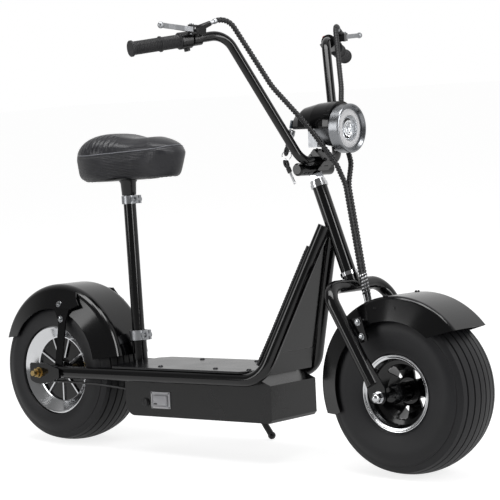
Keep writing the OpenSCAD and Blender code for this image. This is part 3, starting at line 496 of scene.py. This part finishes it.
# The headlight: a grey ring holds a round lens. In the middle a bowl of
# chromed plastic and a small dome throw the light; round it is a white bezel.
LAMP = Vector((926, 0, 600))
lamp_axis = upright_dir(1, 0, 0)
lens_glass, t = new_material("clear_polycarbonate")
where = add(t, "ShaderNodeTexCoord")
glow = add(t, "ShaderNodeTexNoise", {"Scale": 30.0}, Vector=where.outputs["Object"])
gloss = add(t, "ShaderNodeMapRange", {"To Min": 0.02, "To Max": 0.06}, Value=glow.outputs["Fac"])
skin = add(t, "ShaderNodeBsdfPrincipled", {"Base Color": hex_colour("f6f8fa"), "IOR": 1.58, "Transmission Weight": 1.0},
           Roughness=gloss.outputs["Result"])
add(t, "ShaderNodeOutputMaterial", None, Surface=skin.outputs[0])
white_bezel, t = new_material("white_reflector_plastic")
where = add(t, "ShaderNodeTexCoord")
glow = add(t, "ShaderNodeTexNoise", {"Scale": 80.0}, Vector=where.outputs["Object"])
gloss = add(t, "ShaderNodeMapRange", {"To Min": 0.22, "To Max": 0.34}, Value=glow.outputs["Fac"])
skin = add(t, "ShaderNodeBsdfPrincipled", {"Base Color": hex_colour("dcdcde")}, Roughness=gloss.outputs["Result"])
add(t, "ShaderNodeOutputMaterial", None, Surface=skin.outputs[0])
o = turned("lamp_bezel", upright(LAMP.x, 0, LAMP.z), lamp_axis, [
    (-12, 44.8), (-10.5, 44.8), (-10, 44), (-7.6, 38), (-7, 32), (-7.6, 30.2), (-10, 29.6), (-12, 29.6)], 96, ring=True)
finish_piece(o, white_bezel, "steering", "lamp_lens")
o = turned("lamp_bowl", upright(LAMP.x, 0, LAMP.z), lamp_axis, [
    (-28.6, 44.8), (-12.2, 44.8), (-12.2, 29.8), (-8.2, 29.8), (-8.2, 29.0), (-12, 27.6), (-17, 24.4), (-21, 19.6),
    (-24, 13), (-25.4, 7), (-25.6, 0.4)], 96)
finish_piece(o, chrome, "steering", "lamp_lens")
o = turned("lamp_dome", upright(LAMP.x, 0, LAMP.z), lamp_axis, [
    (-25, 7), (-20, 7.5), (-15, 10), (-11, 15), (-8.8, 20), (-7.7, 24), (-7.6, 28.7), (-6.6, 28.7), (-5.2, 24),
    (-4.1, 17), (-3.4, 9), (-3.1, 0.4)], 96)
finish_piece(o, lens_glass, "steering", "lamp_lens", "headlight_lens")

# The hood behind the lamp is glossy black plastic, with a clear window over
# a battery gauge at its rear end that faces the rider.
hood_plastic = black_paint("moulded_gloss_plastic", "0a0a0b", 0.1, 0.003)
dress(hood_plastic, "headlight_hood")
gauge_glass, t = new_material("tinted_gauge_window")
where = add(t, "ShaderNodeTexCoord")
haze = add(t, "ShaderNodeTexNoise", {"Scale": 40.0}, Vector=where.outputs["Object"])
tone = add(t, "ShaderNodeMix", {"data_type": "RGBA"}, Factor=haze.outputs["Fac"])
tone.inputs["A"].default_value = hex_colour("27323c")
tone.inputs["B"].default_value = hex_colour("4a5c6a")
skin = add(t, "ShaderNodeBsdfPrincipled", {"Roughness": 0.08, "Coat Weight": 0.6},
           **{"Base Color": tone.outputs["Result"]})
add(t, "ShaderNodeOutputMaterial", None, Surface=skin.outputs[0])
deselect()
bpy.ops.mesh.primitive_cube_add(size=1)
o = bpy.context.object
o.name = "gauge_window"
bpy.ops.object.mode_set(mode="EDIT")
bpy.ops.transform.resize(value=(0.006, 0.046, 0.02))
bpy.ops.mesh.bevel(offset=0.002, segments=3)
bpy.ops.object.mode_set(mode="OBJECT")
o.data.transform(Matrix.Translation(upright(763.5, 0, 614)) @ lean_turn.to_4x4()
                 @ Matrix.Rotation(math.radians(14), 4, "Y"))
smooth(o)
finish_piece(o, gauge_glass, "steering", "hood_plastic")

# Lock and keys: a chromed barrel hangs under the back of the hood, with a key
# in it. A split ring through its bow carries the spare key, which hangs down.
LOCK = Vector((772, -34, 601.8))


def blank(name, size, bevel, segments=2):
    """A small bevelled block in mm, lying along X at the origin."""
    deselect()
    bpy.ops.mesh.primitive_cube_add(size=1)
    o = bpy.context.object
    o.name = name
    bpy.ops.object.mode_set(mode="EDIT")
    bpy.ops.transform.resize(value=[s / 1000 for s in size])
    bpy.ops.mesh.bevel(offset=bevel / 1000, segments=segments)
    bpy.ops.object.mode_set(mode="OBJECT")
    return o


def plastic(name, tone, rough):
    m, t = new_material(name)
    where = add(t, "ShaderNodeTexCoord")
    cloud = add(t, "ShaderNodeTexNoise", {"Scale": 70.0, "Detail": 3.0}, Vector=where.outputs["Object"])
    # Spark-eroded mould texture, about 0.4 mm
    grain = add(t, "ShaderNodeTexNoise", {"Scale": 2500.0}, Vector=where.outputs["Object"])
    gloss = add(t, "ShaderNodeMapRange", {"To Min": rough * 0.8, "To Max": rough * 1.2}, Value=cloud.outputs["Fac"])
    bump = add(t, "ShaderNodeBump", {"Strength": 0.06, "Distance": 0.0002}, Height=grain.outputs["Fac"])
    skin = add(t, "ShaderNodeBsdfPrincipled", {"Base Color": hex_colour(tone)}, Roughness=gloss.outputs["Result"],
               Normal=bump.outputs["Normal"])
    add(t, "ShaderNodeOutputMaterial", None, Surface=skin.outputs[0])
    return m


def flat_key(name):
    """Moulded head round the origin and a milled blade down along -Z, as two pieces."""
    head = turned("head", Vector((0, 0, 0)), (0, 1, 0), [
        (-2, 9), (-2.6, 8), (-2.6, 3.6), (-1.8, 2.8), (1.8, 2.8), (2.6, 3.6), (2.6, 8), (2, 9), (0.8, 9.8),
        (-0.8, 9.8)], 32, ring=True)
    head.data.transform(Matrix.Diagonal((1.0, 1.0, 1.25, 1.0)))
    tail = blank("tail", (15, 4.6, 14), 1.8, 3)
    tail.data.transform(Matrix.Translation((0, 0, -0.0165)))
    head = joined(name + "_head", [head, tail])
    blade = blank(name + "_blade", (7.4, 2, 30), 0.4)
    blade.data.transform(Matrix.Translation((0, 0, -0.038)))
    groove = blank("groove", (1.6, 2.6, 27), 0.3)
    groove.data.transform(Matrix.Translation((0.0006, 0, -0.038)))
    return head, joined(name + "_blade", [blade, groove])


lock_turn = lean_turn.to_4x4() @ Matrix.Rotation(math.radians(16), 4, "Y")
down = lock_turn.to_3x3() @ Vector((0, 0, -1))
barrel = turned("lock_barrel", upright(*LOCK), down, [
    (1.6, 8), (1.6, 11.4), (3, 12), (14, 12), (14.6, 11.2), (15, 10.6), (20, 10.6), (21.5, 10), (22.3, 8.6),
    (22.3, 3.2), (20.5, 3), (20.5, 0.3)], 40)
finish_piece(barrel, chrome, "steering", "chrome_parts", "ignition_lock")
hang = upright(LOCK.x - 15, LOCK.y, LOCK.z - 60)
black_plastic = plastic("black_abs", "101012", 0.4)
for name, place in (
        ("key_in_lock", Matrix.Translation(upright(*LOCK)) @ lock_turn @ Matrix.Translation((0, 0, -0.052))
         @ Matrix.Rotation(math.radians(180), 4, "X") @ Matrix.Rotation(math.radians(25), 4, "Z")),
        ("spare_key", Matrix.Translation(hang + Vector((-0.002, 0, -0.0195)))
         @ Matrix.Rotation(math.radians(-24), 4, "Y") @ Matrix.Rotation(math.radians(-15), 4, "Z"))):
    head, blade = flat_key(name)
    for part, material, slot in ((head, black_plastic, "black_plastic"), (blade, chrome, "chrome_parts")):
        part.data.transform(place)
        smooth(part)
        finish_piece(part, material, "steering", slot)
deselect()
bpy.ops.mesh.primitive_torus_add(major_radius=0.0115, minor_radius=0.0008, major_segments=40, minor_segments=8)
ring = bpy.context.object
ring.name = "key_ring"
ring.data.transform(Matrix.Translation(hang + Vector((0.001, 0, 0))) @ lean_turn.to_4x4()
                    @ Matrix.Rotation(math.radians(70), 4, "X") @ Matrix.Rotation(math.radians(20), 4, "Y"))
smooth(ring)
finish_piece(ring, chrome, "steering", "chrome_parts")


# Screws: zinc plated hex heads on thin washers hold the fenders to their
# struts and tabs, and small ones join the front fender's brackets inside.
def hex_screws(name, body, head, spots, metal):
    """Copies of one hex head and washer, set on spots of (point in mm, direction)."""
    washer = turned("washer", Vector((0, 0, 0)), (0, 0, 1), [
        (0, head * 1.5), (0.5, head * 1.62), (1.2, head * 1.62), (1.6, head * 1.5), (1.6, 0.3)], 24)
    cap = turned("cap", Vector((0, 0, 0)), (0, 0, 1), [
        (1.5, head), (head * 0.75 + 1.5, head), (head * 0.95 + 1.5, head * 0.8), (head * 1.0 + 1.5, head * 0.5),
        (head * 0.9 + 1.5, 0.3)], 6)
    master = joined(name, [washer, cap])
    copies = []
    for point, normal in spots:
        c = master.copy()
        c.data = master.data.copy()
        bpy.context.scene.collection.objects.link(c)
        aim = Vector((0, 0, 1)).rotation_difference(upright_dir(*normal)).to_matrix().to_4x4()
        c.data.transform(Matrix.Translation(upright(*point)) @ aim)
        copies.append(c)
    bpy.data.objects.remove(master)
    o = joined(name, copies)
    smooth(o, 30)
    return finish_piece(o, metal, body, "zinc_steel" if metal == bright_zinc else "black_paint")


bright_zinc = bright_metal("bright_zinc_plate", "b4b6b8", 0.22, 0.1)


def both_sides(p, n):
    return [(p, n), ((p[0], -p[1], p[2]), (n[0], -n[1], n[2]))]


hex_screws("rear_fender_screws", "frame", 5.2,
           both_sides((37, -86.9, 174.8), (0, -0.9, 0.44)) + both_sides((50, -95.6, 137), (0, -0.995, 0.104)),
           bright_zinc)
hex_screws("front_fender_screws", "steering", 5.0,
           both_sides((1003.7, -111.1, 163.2), (0, -1, 0)) + both_sides((1013.3, -111.1, 130.7), (0, -1, 0)),
           bright_zinc)
hex_screws("front_fender_rivets", "steering", 2.2,
           both_sides((1027, -77.2, 192), (-0.09, -0.93, 0.36)) + both_sides((1082, -78.2, 195.5), (0.02, -0.93, 0.37))
           + both_sides((1046, -64.2, 218.5), (-0.1, -0.37, 0.93))
           + both_sides((1053, -64.2, 218.8), (-0.08, -0.37, 0.93)), gloss_black)


# Power switch: a grey frame with a screw in each corner holds a frosted cover
# over the rocker. It is let into the right side of the battery box.
BOX_HALF_WIDTH = 88


def on_box(x, out, z):
    """Place on the box's right side: along the deck, outwards and up, in mm."""
    return (deck_place @ Matrix.Translation((x / 1000, -(BOX_HALF_WIDTH + out) / 1000, z / 1000))
            @ Matrix.Rotation(math.radians(90), 4, "X"))


switch_grey = plastic("light_grey_abs", "c9c9cc", 0.35)
frosted_cover = plastic("frosted_pvc", "b9b9bd", 0.22)
SWITCH_X, SWITCH_Z = 381, -62
deselect()
bpy.ops.mesh.primitive_cube_add(size=1)
o = bpy.context.object
o.name = "switch_frame"
bpy.ops.object.mode_set(mode="EDIT")
bpy.ops.transform.resize(value=(0.062, 0.041, 0.003))
bpy.ops.transform.translate(value=(0, 0, 0.0015))
bpy.ops.mesh.select_all(action="DESELECT")
bpy.ops.object.mode_set(mode="OBJECT")
for f in o.data.polygons:
    f.select = f.normal.z > 0.9
bpy.ops.object.mode_set(mode="EDIT")
bpy.ops.mesh.inset(thickness=0.0046)
bpy.ops.mesh.extrude_region_move(TRANSFORM_OT_translate={"value": (0, 0, -0.0024)})
bpy.ops.object.mode_set(mode="OBJECT")
edge = o.modifiers.new("edge", "BEVEL")
edge.width, edge.segments, edge.limit_method = 0.0006, 2, "ANGLE"
bpy.ops.object.modifier_apply(modifier="edge")
o.data.transform(on_box(SWITCH_X, 0, SWITCH_Z))
smooth(o)
finish_piece(o, switch_grey, "frame", "switch_frame", "power_switch")
cover = blank("switch_cover", (45, 25, 7), 2.2, 4)
cover.data.transform(on_box(SWITCH_X + 1.6, 4.6, SWITCH_Z))
smooth(cover)
finish_piece(cover, frosted_cover, "frame", "switch_frame")
toggles = [blank("toggle", (11, 3.4, 2.6), 0.9), blank("toggle", (2.6, 3.0, 2), 0.7),
           blank("toggle", (2.6, 3.0, 2), 0.7)]
for part, (x, z) in zip(toggles, ((-12, -8.4), (-22.8, 4), (-22.8, -2.6))):
    part.data.transform(on_box(SWITCH_X + x, 8.0 if x > -20 else 1.6, SWITCH_Z + z))
smooth(joined("switch_toggles", toggles))
finish_piece(toggles[0], black_plastic, "frame", "black_plastic")
screws = []
for x, z in ((-28.3, 17.8), (28.3, -17.8), (28.3, 17.8), (-28.3, -17.8)):
    spot = on_box(SWITCH_X + x, 2.6, SWITCH_Z + z)
    screws.append(turned("screw", spot.translation, spot.to_3x3() @ Vector((0, 0, 1)),
                         [(0, 1.9), (0.6, 1.9), (0.9, 1.5), (0.9, 0.7), (0.3, 0.6), (0.3, 0.1)], 16))
finish_piece(joined("switch_screws", screws), black_plastic, "frame", "black_plastic")

# Charging socket behind the switch: a round flange on the side of the
# battery box, closed by a ribbed push-on cap of black plastic.
spot = on_box(331, 0, -69)
o = turned("charge_cap", spot.translation, spot.to_3x3() @ Vector((0, 0, 1)), [
    (0, 10.6), (0, 11), (2.2, 11), (3, 10.2), (3, 8.6), (3.4, 8.2), (4.2, 8.2), (4.5, 7.8), (4.9, 8.2), (5.7, 8.2),
    (6, 7.6), (6, 4.6), (5.4, 4.2), (5.4, 0.2)], 36)
finish_piece(o, black_plastic, "frame", "black_plastic", "charge_socket")

# Buttons on the left switch pod: green for the lamp and red to stop. They are
# moulded in coloured plastic and stand in round holes in the pod's face.
for name, tone, s, r in (("lamp_button", "2c7a3e", 180, 4.2), ("stop_button", "a3201e", 191, 4.2)):
    colour = plastic(name + "_plastic", tone, 0.3)
    o = turned(name, at_bar(s, -12.6, 12.6, 1), at_bar(s, -20, 20, 1) - at_bar(s, -12.6, 12.6, 1),
               [(-1.5, r), (1.8, r), (2.6, r * 0.8), (2.6, r * 0.5), (2.2, 0.2)], 24)
    finish_piece(o, colour, "steering", "black_plastic")

# The saddle: a pear-shaped foam pad on a steel base, covered in black vinyl.
# A welt joins a smooth, cross-ribbed top panel to sides with a woven emboss.
POST_LEAN = math.radians(-1.5)
saddle_place = (deck_place @ Matrix.Translation((0.238, 0, 0.021)) @ Matrix.Rotation(POST_LEAN, 4, "Y")
                @ Matrix.Translation((0, 0, 0.465)))
SADDLE_MID, SADDLE_HALF = 24.0, 163.0
HALF_WIDTH = ((-139, 116), (-100, 116), (-60, 114.7), (-31, 111), (0, 102), (40, 85), (80, 74), (126, 72.5),
              (160, 80), (187, 84))
WELT_HEIGHT = ((-139, 94), (-120, 86), (-95, 72), (-60, 67), (0, 67), (60, 69), (120, 70), (150, 72),
               (170, 76), (187, 80))
RIDGE = ((-139, 116), (-110, 119), (-80, 121), (-45, 121.5), (-15, 119), (20, 111), (58, 102.5), (90, 102),
         (113, 103.5), (140, 102.5), (165, 100), (187, 97))
SHOULDER = 60.0


def through(table, x):
    """Smooth value at x through a short table of (x, value)."""
    x = min(max(x, table[0][0]), table[-1][0])
    i = max(k for k in range(len(table) - 1) if table[k][0] <= x)
    (x1, y1), (x2, y2) = table[i], table[i + 1]
    x0, y0 = table[i - 1] if i else (2 * x1 - x2, y1)
    x3, y3 = table[i + 2] if i + 2 < len(table) else (2 * x2 - x1, y2)
    s = (x - x1) / (x2 - x1)
    m1, m2 = (y2 - y0) / (x2 - x0) * (x2 - x1), (y3 - y1) / (x3 - x1) * (x2 - x1)
    return ((2 * s ** 3 - 3 * s ** 2 + 1) * y1 + (s ** 3 - 2 * s ** 2 + s) * m1
            + (3 * s ** 2 - 2 * s ** 3) * y2 + (s ** 3 - s ** 2) * m2)


def saddle_point(u, v, w):
    """Cube point to saddle point in mm: the sides stand up, the top domes."""
    a, b = u * math.sqrt(1 - v * v / 2), v * math.sqrt(1 - u * u / 2)
    r = min(1.0, math.hypot(a, b))
    x = SADDLE_MID + SADDLE_HALF * a
    half = through(HALF_WIDTH, x) * math.sqrt(max(0.0, 1 - abs(a) ** 2.6))
    y = b / math.sqrt(max(1e-6, 1 - a * a)) * half
    if w > 0.999:
        return Vector((x, y, SHOULDER + (through(RIDGE, x) - SHOULDER) * math.sqrt(max(0.0, 1 - r ** 4.3))))
    z = (w + 1) / 2 * SHOULDER
    nose = (a + 1) / 2
    tuck = (4 + 12 * nose) * (1 - z / SHOULDER) + (16 - 12 * nose) * max(0.0, 1 - z / 20) ** 2
    return Vector((SADDLE_MID + (x - SADDLE_MID) * (1 - tuck / SADDLE_HALF), y * (1 - tuck / max(half, 60)), z))


deselect()
bpy.ops.mesh.primitive_cube_add(size=2)
saddle = bpy.context.object
saddle.name = "saddle_cover"
bpy.ops.object.mode_set(mode="EDIT")
bpy.ops.mesh.subdivide(number_cuts=31)
bpy.ops.object.mode_set(mode="OBJECT")
for v in saddle.data.vertices:
    p = saddle_point(*v.co)
    v.co = Vector(((p.x - SADDLE_MID) * 0.985 + SADDLE_MID, p.y * 0.975, 1.5 + p.z * 0.98)) / 1000
remesh = saddle.modifiers.new("even", "REMESH")
remesh.mode, remesh.voxel_size = "VOXEL", 0.005
bpy.ops.object.modifier_apply(modifier="even")
start = [v.co.copy() for v in saddle.data.vertices]
base = saddle.vertex_groups.new(name="base")
base.add([v.index for v in saddle.data.vertices if v.co.z < 0.014], 1.0, "ADD")
cloth = saddle.modifiers.new("foam", "CLOTH")
cloth.settings.quality = 6
cloth.settings.mass = 0.3
cloth.settings.use_pressure = True
cloth.settings.uniform_pressure_force = 4
cloth.settings.effector_weights.gravity = 0
cloth.settings.vertex_group_mass = "base"
scene = bpy.context.scene
for step in range(1, 21):
    scene.frame_set(step)
bpy.ops.object.modifier_apply(modifier="foam")
scene.frame_set(1)
for v, s in zip(saddle.data.vertices, start):
    move = v.co - s
    v.co = s + move * min(1.0, 0.003 / max(move.length, 1e-9))
fine = saddle.modifiers.new("fine", "SUBSURF")
fine.levels = fine.render_levels = 1
bpy.ops.object.modifier_apply(modifier="fine")

# Its underside is let in by 7 mm, and the steel pan lies in there
for f in saddle.data.polygons:
    f.select = f.normal.z < -0.85 and f.center.z < 0.006
deselect()
bpy.context.view_layer.objects.active = saddle
bpy.ops.object.mode_set(mode="EDIT")
bpy.ops.mesh.select_mode(type="FACE")
bpy.ops.mesh.inset(thickness=0.004)
bpy.ops.mesh.extrude_region_move(TRANSFORM_OT_translate={"value": (0, 0, 0.007)})
bpy.ops.mesh.select_mode(type="VERT")
bpy.ops.object.mode_set(mode="OBJECT")

# The welt lies in a shallow channel, and the top panel has pressed cross ribs
for v in saddle.data.vertices:
    x, y, z = v.co * 1000
    n = v.normal
    welt = through(WELT_HEIGHT, x) + 1.5
    if z > 8 and n.z < 0.93:
        v.co -= n * 0.0016 * math.exp(-((z - welt) / 2.6) ** 2)
    if z > welt + 3:
        fade = min(1, (z - welt - 3) / 10) * min(1, max(0, (x + 118) / 14)) * min(1, max(0, (46 - x) / 30))
        v.co -= n * 0.0021 * fade * max(0.0, math.cos(math.tau * x / 12.6)) ** 4

# The cover's own map runs round the saddle and up its side, in metres
mesh = saddle.data
lap = 1.02
cover_map = mesh.uv_layers.new(name="cover")
weave = mesh.attributes.new("woven", "FLOAT", "POINT")
for v in mesh.vertices:
    x, z = v.co.x * 1000, v.co.z * 1000
    side = 1 / (1 + math.exp((z - through(WELT_HEIGHT, x) - 1.5) / 0.5))
    weave.data[v.index].value = side * (1 - 0.75 * min(1, max(0, (x - 70) / 60)))
for face in mesh.polygons:
    around = []
    for i in face.loop_indices:
        p = mesh.vertices[mesh.loops[i].vertex_index].co
        around.append(math.atan2(p.y, p.x - SADDLE_MID / 1000) / math.tau * lap)
    for i, s in zip(face.loop_indices, around):
        if max(around) - s > lap / 2:
            s += lap
        cover_map.data[i].uv = (s, mesh.vertices[mesh.loops[i].vertex_index].co.z)

saddle_vinyl, t = new_material("embossed_vinyl")
where = add(t, "ShaderNodeTexCoord")
uv = add(t, "ShaderNodeSeparateXYZ", None, Vector=where.outputs["UV"])
xyz = add(t, "ShaderNodeSeparateXYZ", None, Vector=where.outputs["Object"])
side = add(t, "ShaderNodeAttribute", {"attribute_name": "woven"})


def sine(source, pitch):
    turns = add(t, "ShaderNodeMath", {"operation": "MULTIPLY", "1": math.tau / pitch}, **{"0": source})
    return add(t, "ShaderNodeMath", {"operation": "SINE"}, **{"0": turns.outputs[0]}).outputs[0]


def times(a, b):
    return add(t, "ShaderNodeMath", {"operation": "MULTIPLY"}, **{"0": a, "1": b}).outputs[0]


slant_a = add(t, "ShaderNodeMath", {"operation": "ADD"}, **{"0": uv.outputs["X"], "1": uv.outputs["Y"]})
slant_b = add(t, "ShaderNodeMath", {"operation": "SUBTRACT"}, **{"0": uv.outputs["X"], "1": uv.outputs["Y"]})
# Woven emboss, 5.4 mm from strand to strand on the slant; it also sets the painted highlight and painted shade in the
# tone below
weave_wave = times(sine(slant_a.outputs[0], 0.0076), sine(slant_b.outputs[0], 0.0076))
weave_high = times(weave_wave, side.outputs["Fac"])
# Pin holes in the top panel, 3 mm apart
pins = times(sine(xyz.outputs["X"], 0.0030), sine(xyz.outputs["Y"], 0.0030))
pin_high = add(t, "ShaderNodeMapRange", {"From Min": 0.35, "From Max": 0.7, "To Min": 0.0, "To Max": -0.5}, Value=pins)
top_side = add(t, "ShaderNodeMapRange", {"From Min": 0.0, "From Max": 0.2, "To Min": 1.0, "To Max": 0.0},
               Value=side.outputs["Fac"])
height = add(t, "ShaderNodeMath", {"operation": "ADD"}, **{
    "0": weave_high, "1": times(pin_high.outputs["Result"], top_side.outputs["Result"])})
leather = add(t, "ShaderNodeTexVoronoi", {"Scale": 900.0}, Vector=where.outputs["Object"])
grain = add(t, "ShaderNodeBump", {"Strength": 0.12, "Distance": 0.0002}, Height=leather.outputs["Distance"])
bump = add(t, "ShaderNodeBump", {"Strength": 0.9, "Distance": 0.0009}, Height=height.outputs[0],
           Normal=grain.outputs["Normal"])
# Painted light: the raised strands of the weave are painted lighter as a painted highlight, and its hollows darker as
# painted shade
weave_painted_light = add(t, "ShaderNodeMapRange", {"From Min": -0.4, "From Max": 0.6}, Value=weave_high)
tone = add(t, "ShaderNodeMix", {"data_type": "RGBA"}, Factor=weave_painted_light.outputs["Result"])
tone.inputs["A"].default_value = hex_colour("060607")
tone.inputs["B"].default_value = hex_colour("3c3c42")
gloss = add(t, "ShaderNodeMapRange", {"From Min": -0.5, "From Max": 0.5, "To Min": 0.42, "To Max": 0.2},
            Value=weave_high)
skin = add(t, "ShaderNodeBsdfPrincipled", {"Specular IOR Level": 0.5, "Sheen Weight": 0.08, "Sheen Roughness": 0.4},
           Roughness=gloss.outputs["Result"], Normal=bump.outputs["Normal"], **{"Base Color": tone.outputs["Result"]})
add(t, "ShaderNodeOutputMaterial", None, Surface=skin.outputs[0])

# The welt is a cord sewn into the seam, found by looking in from outside
rays = []
bpy.context.view_layer.update()
for i in range(200):
    a = math.tau * i / 200
    way = Vector((math.cos(a), math.sin(a), 0))
    z = 0.0695
    for k in range(3):
        _, spot, n, _ = saddle.ray_cast(Vector((SADDLE_MID / 1000, 0, z)) + way * 0.4, -way)
        z = (through(WELT_HEIGHT, spot.x * 1000) + 1.5) / 1000
    rays.append(spot + n * 0.0007)
line = bpy.data.curves.new("saddle_welt", "CURVE")
line.dimensions = "3D"
line.bevel_depth = 0.0014
line.bevel_resolution = 2
spline = line.splines.new("POLY")
spline.points.add(len(rays) - 1)
spline.use_cyclic_u = True
for p, q in zip(spline.points, rays):
    p.co = (*q, 1)
welt = bpy.data.objects.new("saddle_welt", line)
bpy.context.scene.collection.objects.link(welt)
deselect()
welt.select_set(True)
bpy.context.view_layer.objects.active = welt
bpy.ops.object.convert(target="MESH")
welt = bpy.context.object
# The welt's light grey is a painted highlight: it stands for the bright line that light draws along the cord in the
# seam
welt_vinyl = plastic("welt_vinyl_painted_highlight_grey", "77787d", 0.3)
for o in (saddle, welt):
    o.data.transform(saddle_place)
    smooth(o, 60)
pan = turned("saddle_pan", Vector((0, 0, 0)), (0, 0, 1), [
    (-38, 17.8), (-37, 18.4), (-6, 20.2), (0, 24), (2.4, 46), (2.4, 70), (0.8, 80), (2.4, 81.5), (4, 80.6), (6.4, 70),
    (6.4, 20), (4, 14.5), (-38, 14.5)], 64, ring=True)
pan.data.transform(saddle_place)
finish_piece(pan, satin_black, "seat", "black_paint", "saddle_base")
finish_piece(saddle, saddle_vinyl, "seat", "saddle_vinyl", "saddle")
finish_piece(welt, welt_vinyl, "seat", "saddle_vinyl")

# The pieces that stay as built: the loom is dressed above, the rest here.
deck_coat = black_paint("textured_deck_coat", "0d0d0f", 0.24, 0.1)
dress(deck_coat, "deck_plate")
dress(bright_metal("black_oxide_steel", "2a2a2c", 0.35, 0.1), "deck_bolts")
